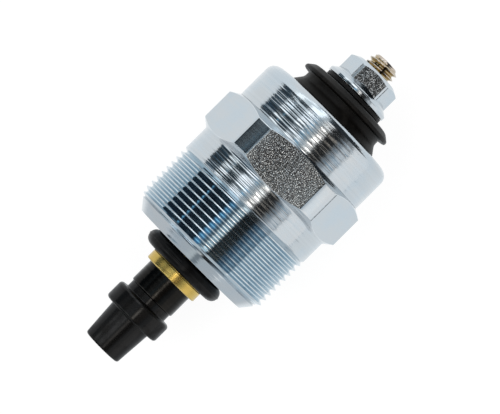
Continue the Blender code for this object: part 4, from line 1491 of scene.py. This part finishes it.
@dataclass
class InsulatingWasher:
    """Hard black washer under the nut, with punched edges."""

    stations: Stations
    columns: int = 120
    radius: float = 5.2
    bore: float = 2.45
    rolled_edge: float = 0.12
    cut_edge: float = 0.04

    def build(self, material: Material) -> Piece:
        """Build the washer and put it on the valve's body.

        Args:
            material: the piece's finish.

        Returns:
            The finished piece.
        """
        low, high = self.stations.washer_bottom, self.stations.washer_top
        body = turned_patch(
            [
                Corner(high, self.bore),
                Corner(low, self.bore),
                Corner(low, self.radius, self.rolled_edge),
                Corner(high, self.radius, self.cut_edge),
                Corner(high, self.bore),
            ],
            even_turn(self.columns),
        )
        piece = skin("punched_washer", [body])
        return settle(piece, "insulating_washer", Body.VALVE, material)


@dataclass
class NoseSeal:
    """Rubber ring of round section, with the thin flash that its mould leaves outside."""

    columns: int = 144
    flash_points: int = 13
    plain_points: int = 44
    section: float = 2.4
    centre_radius: float = 5.65
    centre: float = -1.3
    flash_height: float = 0.07
    flash_width: float = 0.09
    flash_reach: float = 0.22
    plain_start: float = 0.25

    def build(self, material: Material) -> Piece:
        """Build the ring and put it on the valve's body.

        The section is a circle whose radius grows by flash_height exp(-(a / width)^2)
        near the angle a = 0, which points away from the axis.

        Args:
            material: the piece's finish.

        Returns:
            The finished piece.
        """
        even = np.linspace(self.plain_start, FULL_TURN - self.plain_start, self.plain_points)
        near = np.linspace(-self.flash_reach, self.flash_reach, self.flash_points)
        section = np.concatenate([near, even])
        signed = (section + math.pi) % FULL_TURN - math.pi
        swell = self.flash_height * np.exp(-((signed / self.flash_width) ** 2))
        radius = self.section / 2 + swell
        turn = even_turn(self.columns)
        along_axis = self.centre + radius * np.sin(section)
        away = self.centre_radius + radius * np.cos(section)
        profile = np.stack([along_axis, away], axis=-1)[:, None, :]
        profile = np.broadcast_to(profile, (len(section), len(turn), 2))
        edge = np.broadcast_to((swell / self.flash_height)[:, None], profile.shape[:2])
        ring = Patch(around_axis(profile, turn), edge, np.zeros(profile.shape[:2]))
        piece = skin("moulded_ring", [ring], closed_rows=True)
        return settle(piece, "nose_seal", Body.VALVE, material)


@dataclass
class GuideTube:
    """Thin brass tube with the small end flange that shows under the ring."""

    stations: Stations
    columns: int = 144
    rounding_steps: int = 6
    bore: float = 3.95
    radius: float = 4.4
    flange: float = 4.62
    flange_top: float = -2.6
    mouth_edge: float = 0.12
    flange_lower_edge: float = 0.2
    flange_upper_edge: float = 0.1

    def build(self, material: Material) -> Piece:
        """Build the tube and put it on the valve's body.

        Args:
            material: the piece's finish.

        Returns:
            The finished piece.
        """
        end, top = self.stations.tube_end, self.stations.tube_top
        body = turned_patch(
            [
                Corner(top, self.bore),
                Corner(end, self.bore, self.mouth_edge),
                Corner(end, self.flange, self.flange_lower_edge),
                Corner(self.flange_top, self.flange, self.flange_upper_edge),
                Corner(self.flange_top, self.radius),
                Corner(top, self.radius),
                Corner(top, self.bore),
            ],
            even_turn(self.columns),
            self.rounding_steps,
        )
        piece = skin("brass_tube", [body])
        return settle(piece, "guide_tube", Body.VALVE, material)


@dataclass
class Plunger:
    """Blackened steel shaft with its moulded tip, which slide together."""

    stations: Stations
    columns: int = 144
    tip_rounding_steps: int = 6
    shaft: float = 3.9
    pocket: float = 2.2
    pocket_depth: float = 6.0
    pin: float = 1.8
    pin_head: float = 2.4
    pin_head_thickness: float = 1.0
    neck_step: float = 0.24
    neck_length: float = 1.2
    collar_rise: float = 0.91
    collar_thickness: float = 3.08
    collar_upper_edge: float = 0.55
    collar_lower_edge: float = 0.45
    cone_step: float = 0.36
    cone_taper: float = 0.41
    cone_edge: float = 0.35
    play: float = 0.05
    seam: float = 0.015
    pin_edge: float = 0.1
    pin_corner: float = 0.05
    shaft_lower_edge: float = 0.235
    shaft_upper_edge: float = 0.25
    pocket_edge: float = 0.1
    cone_corner: float = 0.15
    neck_corner: float = 0.2

    def build_shaft(self, material: Material) -> Piece:
        """Build the armature: spring pocket above, shaft, and headed pin below.

        Args:
            material: the piece's finish.

        Returns:
            The finished piece.
        """
        top = self.stations.armature_top
        end = self.stations.tip_top + self.seam
        pin_end = along("armature", 0)
        body = turned_patch(
            [
                Corner(pin_end, 0.0),
                Corner(pin_end, self.pin_head, self.pin_edge),
                Corner(pin_end + self.pin_head_thickness, self.pin_head, self.pin_edge),
                Corner(pin_end + self.pin_head_thickness, self.pin, self.pin_corner),
                Corner(end, self.pin, self.pin_corner),
                Corner(end, self.shaft, self.shaft_lower_edge),
                Corner(top, self.shaft, self.shaft_upper_edge),
                Corner(top, self.pocket, self.pocket_edge),
                Corner(top - self.pocket_depth, self.pocket),
                Corner(top - self.pocket_depth, 0.0),
            ],
            even_turn(self.columns),
        )
        piece = skin("plunger_shaft", [body])
        return settle(piece, "armature", Body.PLUNGER, material)

    def build_tip(self, material: Material) -> Piece:
        """Build the moulded tip: neck, sealing collar and tapered end round the pin.

        Args:
            material: the piece's finish.

        Returns:
            The finished piece.
        """
        top, end = self.stations.tip_top, self.stations.tip_end
        pin_end = along("armature", 0) - self.play
        head_top = pin_end + self.pin_head_thickness + 2 * self.play
        collar_top = top - self.neck_length
        collar_bottom = collar_top - self.collar_thickness
        cone = self.shaft - self.cone_step
        collar = self.shaft + self.collar_rise
        neck = self.shaft - self.neck_step
        body = turned_patch(
            [
                Corner(end, 0.0),
                Corner(end, cone - self.cone_taper, self.cone_edge),
                Corner(collar_bottom, cone, self.cone_corner),
                Corner(collar_bottom, collar, self.collar_lower_edge),
                Corner(collar_top, collar, self.collar_upper_edge),
                Corner(collar_top, neck, self.neck_corner),
                Corner(top, neck),
                Corner(top, self.pin + self.play),
                Corner(head_top, self.pin + self.play),
                Corner(head_top, self.pin_head + self.play),
                Corner(pin_end, self.pin_head + self.play),
                Corner(pin_end, 0.0),
            ],
            even_turn(self.columns),
            self.tip_rounding_steps,
        )
        piece = skin("moulded_tip", [body])
        return settle(piece, "valve_tip", Body.PLUNGER, material)


@dataclass
class ReturnSpring:
    """Coil spring with closed, ground ends between the plunger and the pole core."""

    wire: float = 0.275
    coil: float = 1.825
    turns: float = 8.0
    closed_share: float = 0.11
    steps_per_turn: int = 40
    sides: int = 12

    def build(self, material: Material) -> Piece:
        """Build the spring between the plunger and the pole core.

        The centre line is a helix whose rise follows a smooth step of the turn, so that
        the end coils lie closed; the wire's circle stands square to it, and both ends
        are cut flat by holding every point between the two end planes.

        Args:
            material: the piece's finish.

        Returns:
            The finished piece.
        """
        low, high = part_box("return_spring")[0].x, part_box("return_spring")[1].x
        steps, sides = int(self.turns * self.steps_per_turn), self.sides
        share = np.linspace(0.0, 1.0, steps + 1)
        open_part = np.clip((share - self.closed_share) / (1.0 - 2.0 * self.closed_share), 0.0, 1.0)
        lift = 2.0 * self.wire * MM * self.turns * self.closed_share
        rise = np.minimum(share, self.closed_share) + np.maximum(share - 1.0 + self.closed_share, 0.0)
        middle_span = (high - low) - 2.0 * lift
        centre = low + lift / self.closed_share * rise + middle_span * open_part
        turn = FULL_TURN * self.turns * share
        ring = FULL_TURN * np.arange(sides) / sides
        radius = (self.coil + self.wire * np.cos(ring)[None, :]) * MM
        x = np.clip(centre[:, None] + self.wire * MM * np.sin(ring)[None, :], low, high)
        y = radius * np.sin(turn)[:, None]
        z = AXIS_HEIGHT - radius * np.cos(turn)[:, None]
        grid = np.stack([x, y, z], axis=-1)
        start = np.broadcast_to(grid[0].mean(axis=0), (1, sides, 3))
        end = np.broadcast_to(grid[-1].mean(axis=0), (1, sides, 3))
        grid = np.concatenate([start, grid, end])
        flat = np.zeros(grid.shape[:2])
        piece = skin("coil_spring", [Patch(grid, flat, flat)])
        settle(piece, "return_spring", Body.VALVE, material)
        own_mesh(piece)
        return piece


@dataclass
class InnerParts:
    """Pieces inside the housing, whose solids stay and get their own finishes."""

    finishes: dict[str, str] = field(
        default_factory=lambda: {
            "pole_core": "soft_magnet_steel",
            "flux_plate": "soft_magnet_steel",
            "core_seal": "seal_rubber",
            "cover_seal": "seal_rubber",
            "core_shim": "shim_bronze",
            "coil_bobbin": "bobbin_nylon",
            "coil_winding": "copper_wire",
            "coil_wrap": "wrap_film",
            "live_lead": "copper_wire",
            "ground_lead": "copper_wire",
            "insulating_disc": "black_laminate",
            "terminal_base": "base_resin",
            "contact_lug": "copper_strip",
        }
    )

    def dress(self, materials: dict[str, Material]) -> None:
        """Give each inner node its finish.

        Args:
            materials: every finish by its slot's name.
        """
        for node, slot in self.finishes.items():
            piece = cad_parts[node]
            piece.data.materials.clear()
            piece.data.materials.append(materials[slot])
            LOG.info("%s: dressed as %s", node, slot)


# Studio


@dataclass(frozen=True)
class Zone:
    """A strip of soft-edged cards overhead, between two side angles.

    Angles are in degrees from straight overhead: side to the valve's right, seen from the
    nut down, and lean towards the stud. Each band is (least lean, greatest lean, colour),
    and a later band covers the ones before it. soft and lean_soft are how wide the soft
    ends are across the strip and along it.
    """

    left: float
    right: float
    bands: tuple[tuple[float, float, Colour], ...]
    soft: float = 4.0
    lean_soft: float = 2.5


@dataclass(frozen=True)
class Lamp:
    """A soft area lamp: its place and width in metres and its power in watts."""

    name: str
    place: tuple[float, float, float]
    width: float
    power: float


@dataclass
class Studio:
    """Pale floor, white surroundings, soft overhead lamps, cards and the camera.

    shade_strength is how strongly the surroundings light the valve, where 1 is how white
    they look. The floor's glow is what the camera sees; its mirrored colours are what the
    plating reflects of it, on the valve's two sides (Y) and under its nose (X). Under the
    nose the mirrored floor is darker: painted shade that stands in for the valve's shadow
    there.
    """

    lens: float = 189.0
    sensor: float = 36.0
    near_limit: float = 0.01
    camera_place: tuple[float, float, float] = (-0.00328, 0.0139, 0.3917)
    target: tuple[float, float, float] = (0.00034, -0.00077, 0.012)
    axis_tilt: float = math.radians(44.85)
    shade_strength: float = 0.55
    lamps: tuple[Lamp, ...] = (
        Lamp("key_lamp", (-0.35, 0.45, 0.85), 0.7, 4.5),
        Lamp("fill_lamp", (0.45, -0.35, 0.90), 0.9, 3.0),
    )
    floor_half: float = 1.5
    floor_paints: tuple[Colour, Colour] = ((0.80, 0.80, 0.80), (0.82, 0.82, 0.82))
    floor_cloud: float = 40.0
    floor_shadow: Colour = (0.14, 0.14, 0.14)
    floor_glow: float = 0.90
    mirrored_sides: tuple[Colour, Colour] = ((0.90, 0.94, 0.965), (0.94, 0.965, 0.98))
    sides_from: tuple[float, float] = (-0.02, 0.02)
    # Painted shade: the floor under the nose, as the plating mirrors it, is darker.
    mirrored_nose_shade: Colour = (0.70, 0.71, 0.725)
    nose_shade_from: tuple[float, float] = (-0.021, -0.014)
    cards_radius: float = 0.6
    dome_rings: int = 24
    dome_columns: int = 64
    dome_rise: float = math.radians(89.5)
    surround: Colour = (0.03, 0.055, 0.075)
    zones: tuple[Zone, ...] = (
        Zone(-97.0, -66.0, (
            (-36.0, 75.0, (1.0, 1.05, 1.08)),
            (-15.0, 15.0, (0.18, 0.23, 0.27)),
            (-8.5, 8.5, (0.045, 0.085, 0.12)),
            (1.3, 8.5, (0.04, 0.048, 0.052)),
            (-2.6, 0.6, (0.015, 0.02, 0.03)),
        )),
        Zone(-66.0, -50.0, (
            (-36.0, 75.0, (1.6, 1.67, 1.7)),
            (-9.0, 9.0, (0.34, 0.39, 0.42)),
            (-4.5, 4.5, (0.036, 0.040, 0.043)),
            (-2.6, 0.6, (0.02, 0.03, 0.04)),
        )),
        Zone(-54.5, -52.0, ((-3.4, 0.4, (0.26, 0.60, 0.84)),), 2.0, 1.0),
        Zone(-50.0, -34.0, (
            (-36.0, 75.0, (0.85, 0.92, 0.96)),
            (-9.0, 9.0, (0.03, 0.045, 0.055)),
            (-2.6, 0.6, (0.015, 0.02, 0.03)),
        )),
        Zone(-34.0, -12.0, (
            (-36.0, 75.0, (1.8, 1.85, 1.9)),
            (-8.0, 8.0, (0.42, 0.47, 0.50)),
            (-3.5, 3.5, (0.08, 0.11, 0.13)),
            (-2.6, 0.6, (0.02, 0.03, 0.04)),
        )),
        Zone(-13.0, -2.0, (
            (-60.0, 75.0, (0.60, 0.64, 0.66)),
            (-5.0, 5.0, (0.25, 0.30, 0.33)),
        )),
        Zone(-18.0, -9.0, ((-3.2, 0.4, (0.33, 0.72, 1.02)),), 6.0, 1.0),
        Zone(-3.0, 9.0, (
            (-58.0, 30.0, (1.4, 1.33, 1.27)),
            (-7.0, 7.0, (0.30, 0.29, 0.27)),
            (3.8, 7.0, (0.09, 0.085, 0.08)),
            (-1.3, 0.6, (1.7, 1.6, 1.5)),
        )),
        Zone(-1.0, 6.0, ((-11.0, -2.7, (5.2, 4.9, 4.5)),), 3.0, 0.8),
        Zone(9.0, 31.0, ((-60.0, 75.0, (0.02, 0.02, 0.02)),), 5.0),
        Zone(11.0, 33.0, ((-9.0, -1.9, (0.34, 0.30, 0.26)),), 5.0, 1.0),
        Zone(29.0, 41.0, (
            (-60.0, 75.0, (0.36, 0.38, 0.40)),
            (-5.0, 1.5, (0.13, 0.20, 0.26)),
            (10.0, 40.0, (0.08, 0.08, 0.08)),
        ), 9.0),
        Zone(38.0, 53.0, (
            (-60.0, 75.0, (0.84, 0.86, 0.88)),
            (-5.0, 1.5, (0.36, 0.47, 0.55)),
            (10.0, 40.0, (0.36, 0.37, 0.38)),
        ), 8.0),
        Zone(53.0, 118.0, ((-100.0, 100.0, (1.06, 1.06, 1.06)),), 4.5),
        Zone(54.0, 66.0, ((0.9, 2.3, (1.38, 1.33, 1.28)),), 4.0, 0.6),
        Zone(4.0, 88.0, ((34.0, 84.0, (0.03, 0.035, 0.04)),), 8.0, 8.0),
        Zone(-120.0, 120.0, ((-100.0, -62.0, (0.58, 0.62, 0.655)),)),
        Zone(-30.0, 40.0, ((-100.0, -62.0, (0.64, 0.69, 0.71)),), 20.0),
        Zone(0.0, 30.0, ((-100.0, -62.0, (0.24, 0.28, 0.31)),), 12.0),
        Zone(-75.0, -34.0, ((-66.0, -57.0, (0.12, 0.24, 0.32)),), 4.0, 1.5),
    )

    def build(self) -> None:
        """Set up the view, the world, the floor, the cards, the lamps and the camera."""
        bpy.context.scene.view_settings.view_transform = "Standard"
        self.make_world()
        self.make_floor()
        self.make_cards()
        self.make_lamps()
        self.make_camera()

    def seen_directly(self, graph: Graph) -> Socket:
        """Tell what the camera, a gloss or a glass sees from what lights a surface.

        Args:
            graph: the graph to add to.

        Returns:
            1 for camera, glossy and transmission rays, else 0.
        """
        path = graph.node("ShaderNodeLightPath").outputs
        share = graph.math("ADD", path["Is Camera Ray"], path["Is Glossy Ray"], clamp=True)
        return graph.math("ADD", share, path["Is Transmission Ray"], clamp=True)

    def make_world(self) -> None:
        """White surroundings, dimmer where they only light the object."""
        world = bpy.data.worlds.new("surroundings")
        graph = empty_graph(world)
        seen = graph.math("MULTIPLY", self.seen_directly(graph), 1.0 - self.shade_strength)
        strength = graph.math("ADD", seen, self.shade_strength)
        back = graph.node("ShaderNodeBackground", {"Color": (1.0, 1.0, 1.0, 1.0), "Strength": strength})
        graph.node("ShaderNodeOutputWorld", {"Surface": back.outputs[0]})
        bpy.context.scene.world = world

    def make_floor(self) -> None:
        """Pale floor under the lowest flat."""
        half = self.floor_half
        points = [(-half, -half, 0.0), (half, -half, 0.0), (half, half, 0.0), (-half, half, 0.0)]
        mesh = bpy.data.meshes.new("floor")
        mesh.from_pydata(points, [], [(0, 1, 2, 3)])
        mesh.materials.append(self.floor_material())
        in_scene("floor", mesh)

    def floor_material(self) -> Material:
        """Make the floor's material: painted for light, near white for the camera.

        What the camera sees is a glow plus a faint paint that keeps the valve's shadow.

        Returns:
            The material.
        """
        white = (1.0, 1.0, 1.0)
        material = bpy.data.materials.new("pale_floor")
        graph = empty_graph(material)
        cloud = graph.noise(graph.place(), self.floor_cloud, 3.0)
        lit = graph.node("ShaderNodeBsdfDiffuse", {"Color": graph.mix(cloud, *self.floor_paints)})
        faint = graph.node("ShaderNodeBsdfDiffuse", {"Color": (*self.floor_shadow, 1.0)})
        parts = graph.node("ShaderNodeSeparateXYZ", {0: graph.place()}).outputs
        side = graph.spread(parts["Y"], *self.sides_from, 0.0, 1.0)
        # Painted shade in the mirrored floor under the nose; the camera sees it unchanged.
        nose = graph.spread(parts["X"], *self.nose_shade_from, 0.0, 1.0)
        tint = graph.mix(side, *self.mirrored_sides)
        tint = graph.mix(1.0, tint, graph.mix(nose, self.mirrored_nose_shade, white), "MULTIPLY")
        mirrored = graph.node("ShaderNodeLightPath").outputs["Is Glossy Ray"]
        tint = graph.mix(mirrored, white, tint)
        glow = graph.node("ShaderNodeEmission", {"Color": tint, "Strength": self.floor_glow})
        pale = graph.node("ShaderNodeAddShader", {0: faint.outputs[0], 1: glow.outputs[0]})
        sockets = {0: self.seen_directly(graph), 1: lit.outputs[0], 2: pale.outputs[0]}
        both = graph.node("ShaderNodeMixShader", sockets)
        graph.node("ShaderNodeOutputMaterial", {"Surface": both.outputs[0]})
        return material

    def card_share(self, graph: Graph, angle: Socket, low: float, high: float, soft: float) -> Socket:
        """Find where an angle lies between two others.

        Args:
            graph: the cards' graph.
            angle: the angle in degrees.
            low: where the card starts.
            high: where it ends.
            soft: width of its soft ends.

        Returns:
            1 on the card and 0 outside.
        """
        away = graph.math("ABSOLUTE", graph.math("SUBTRACT", angle, (low + high) / 2))
        span = (high - low) / 2
        return graph.spread(away, span - soft / 2, span + soft / 2, 1.0, 0.0)

    def make_cards(self) -> None:
        """Dome of cards that only glossy surfaces show.

        A point of the dome at the rise r and the turn t lies at cards_radius times
        (cos r cos t, cos r sin t, sin r).
        """
        rise = np.linspace(0.0, self.dome_rise, self.dome_rings)[:, None]
        turn = even_turn(self.dome_columns)[None, :]
        points = self.cards_radius * np.stack(
            [np.cos(rise) * np.cos(turn), np.cos(rise) * np.sin(turn), np.sin(rise) * np.ones_like(turn)],
            axis=-1,
        )
        flat = np.zeros(points.shape[:2])
        faces = patch_faces(Patch(points, flat, flat), 0, False)
        mesh = bpy.data.meshes.new("cards")
        mesh.from_pydata(points.reshape(-1, 3).tolist(), [], faces.tolist())
        mesh.materials.append(self.card_material())
        dome = in_scene("cards", mesh)
        dome.visible_camera = False
        dome.visible_diffuse = False
        dome.visible_shadow = False
        dome.visible_transmission = False

    def card_material(self) -> Material:
        """Make the cards' light.

        A point at (x, y, z) lies at the side angle atan2(-y, z) and the lean
        asin(x / radius), and takes the colour of the last card it is in.

        Returns:
            The material.
        """
        material = bpy.data.materials.new("card_light")
        graph = empty_graph(material)
        place = graph.node("ShaderNodeTexCoord").outputs["Object"]
        parts = graph.node("ShaderNodeSeparateXYZ", {0: place}).outputs
        side = graph.math("ARCTAN2", graph.math("MULTIPLY", parts["Y"], -1.0), parts["Z"])
        side = graph.math("DEGREES", side)
        lean = graph.math("ARCSINE", graph.math("DIVIDE", parts["X"], self.cards_radius))
        lean = graph.math("DEGREES", lean)
        colour: Any = (*self.surround, 1.0)
        for zone in self.zones:
            strip: Any = colour
            for low, high, band in zone.bands:
                on_band = self.card_share(graph, lean, low, high, zone.lean_soft)
                strip = graph.mix(on_band, strip, band)
            on_strip = self.card_share(graph, side, zone.left, zone.right, zone.soft)
            colour = graph.mix(on_strip, colour, strip)
        glow = graph.node("ShaderNodeEmission", {"Color": colour, "Strength": 1.0})
        graph.node("ShaderNodeOutputMaterial", {"Surface": glow.outputs[0]})
        return material

    def make_lamps(self) -> None:
        """Soft overhead lamps at a plain level, turned to the valve, which no surface mirrors."""
        for kind in self.lamps:
            light = bpy.data.lights.new(kind.name, "AREA")
            light.size = kind.width
            light.energy = kind.power
            lamp = in_scene(kind.name, light)
            lamp.location = kind.place
            lamp.rotation_euler = (-Vector(kind.place)).to_track_quat("-Z", "Y").to_euler()
            lamp.visible_glossy = False

    def make_camera(self) -> None:
        """Camera nearly straight above, turned so that the valve lies from corner to corner."""
        sight = (Vector(self.target) - Vector(self.camera_place)).normalized()
        valve = Vector((1.0, 0.0, 0.0))
        valve = (valve - valve.dot(sight) * sight).normalized()
        across = (-sight).cross(valve)
        right = math.cos(self.axis_tilt) * valve - math.sin(self.axis_tilt) * across
        up = math.sin(self.axis_tilt) * valve + math.cos(self.axis_tilt) * across
        data = bpy.data.cameras.new("camera")
        data.lens = self.lens
        data.sensor_width = self.sensor
        data.clip_start = self.near_limit
        camera = in_scene("camera", data)
        turn = Matrix((right, up, -sight)).transposed()
        camera.matrix_world = Matrix.Translation(Vector(self.camera_place)) @ turn.to_4x4()
        bpy.context.scene.camera = camera


def make_materials() -> dict[str, Material]:
    """Make every finish once.

    Returns:
        The materials by their slots' names.
    """
    metals = (
        MetalFinish(
            "zinc_plated_steel",
            neutral=(0.565, 0.60, 0.625),
            tinted=(0.535, 0.60, 0.65),
            worn_highlight=(0.78, 0.81, 0.83),
            groove=(0.49, 0.59, 0.655),
        ),
        MetalFinish(
            "nickel_plated_steel",
            neutral=(0.57, 0.50, 0.45),
            tinted=(0.52, 0.43, 0.32),
            worn_highlight=(0.70, 0.64, 0.60),
            groove=(0.46, 0.37, 0.22),
            roughness=0.16,
        ),
        MetalFinish(
            "blackened_steel",
            neutral=(0.023, 0.0218, 0.0202),
            tinted=(0.016, 0.0152, 0.0140),
            worn_highlight=(0.05, 0.048, 0.045),
            groove=(0.016, 0.0152, 0.0140),
            roughness=0.16,
            along=0.05,
        ),
        MetalFinish(
            "soft_magnet_steel",
            neutral=(0.45, 0.45, 0.46),
            tinted=(0.38, 0.37, 0.36),
            worn_highlight=(0.60, 0.60, 0.60),
            groove=(0.38, 0.37, 0.36),
            roughness=0.35,
            along=0.3,
        ),
        MetalFinish(
            "spring_steel",
            neutral=(0.50, 0.50, 0.52),
            tinted=(0.40, 0.40, 0.43),
            worn_highlight=(0.60, 0.60, 0.62),
            groove=(0.40, 0.40, 0.43),
            along=0.05,
        ),
        MetalFinish(
            "brass",
            neutral=(0.64, 0.46, 0.125),
            tinted=(0.56, 0.38, 0.09),
            worn_highlight=(0.86, 0.68, 0.32),
            groove=(0.56, 0.38, 0.09),
            roughness=0.25,
            along=0.08,
        ),
        MetalFinish(
            "copper_strip",
            neutral=(0.75, 0.42, 0.25),
            tinted=(0.62, 0.30, 0.16),
            worn_highlight=(0.85, 0.55, 0.38),
            groove=(0.62, 0.30, 0.16),
            roughness=0.28,
            along=0.2,
        ),
        MetalFinish(
            "shim_bronze",
            neutral=(0.55, 0.38, 0.20),
            tinted=(0.45, 0.29, 0.14),
            worn_highlight=(0.70, 0.52, 0.32),
            groove=(0.45, 0.29, 0.14),
            roughness=0.28,
            along=0.2,
        ),
    )
    moulded = (
        MouldedFinish(
            "black_rubber",
            base=(0.0034, 0.0029, 0.0024),
            bloom=(0.013, 0.0112, 0.0092),
            bloom_share=0.5,
            roughness=0.40,
            specular=0.12,
        ),
        MouldedFinish(
            "seal_rubber",
            base=(0.0028, 0.0027, 0.0026),
            bloom=(0.008, 0.0078, 0.0074),
            roughness=0.36,
            specular=0.07,
            oil=0.15,
        ),
        MouldedFinish(
            "valve_rubber",
            base=(0.0030, 0.0028, 0.0027),
            bloom=(0.010, 0.0092, 0.0085),
            roughness=0.30,
            specular=0.07,
            oil=0.24,
            # Strong lighter edges on the collar and tip: partly from rubbing, partly a painted highlight.
            wear_and_painted_light=0.9,
        ),
        MouldedFinish(
            "bobbin_nylon",
            base=(0.75, 0.72, 0.62),
            bloom=(0.82, 0.80, 0.72),
            roughness=0.4,
        ),
        MouldedFinish(
            "base_resin",
            base=(0.10, 0.06, 0.04),
            bloom=(0.16, 0.10, 0.07),
            roughness=0.4,
        ),
    )
    others = (
        FibreFinish(
            "black_laminate",
            binder=(0.004, 0.004, 0.004),
            fibre=(0.010, 0.009, 0.009),
            specular=0.15,
        ),
        FibreFinish(
            "wrap_film",
            binder=(0.60, 0.45, 0.12),
            fibre=(0.68, 0.54, 0.20),
            roughness=0.15,
            coat=0.5,
        ),
        WoundFinish("copper_wire", wire=(0.62, 0.26, 0.12), gap=(0.20, 0.07, 0.03)),
    )
    return {finish.name: finish.build() for finish in (*metals, *moulded, *others)}


def main() -> None:
    """Build the valve's pieces and the studio, in order."""
    logging.basicConfig(level=logging.INFO, format="%(name)s %(message)s")
    materials = make_materials()
    stations = Stations()
    Housing(stations).build(materials["zinc_plated_steel"])
    FlangeNut(stations).build(materials["zinc_plated_steel"])
    TerminalStud(stations).build(materials["nickel_plated_steel"])
    RubberCap(stations).build(materials["black_rubber"])
    InsulatingWasher(stations).build(materials["black_laminate"])
    NoseSeal().build(materials["seal_rubber"])
    GuideTube(stations).build(materials["brass"])
    plunger = Plunger(stations)
    plunger.build_shaft(materials["blackened_steel"])
    plunger.build_tip(materials["valve_rubber"])
    ReturnSpring().build(materials["spring_steel"])
    InnerParts().dress(materials)
    Studio().build()


if __name__ == "__main__":
    main()
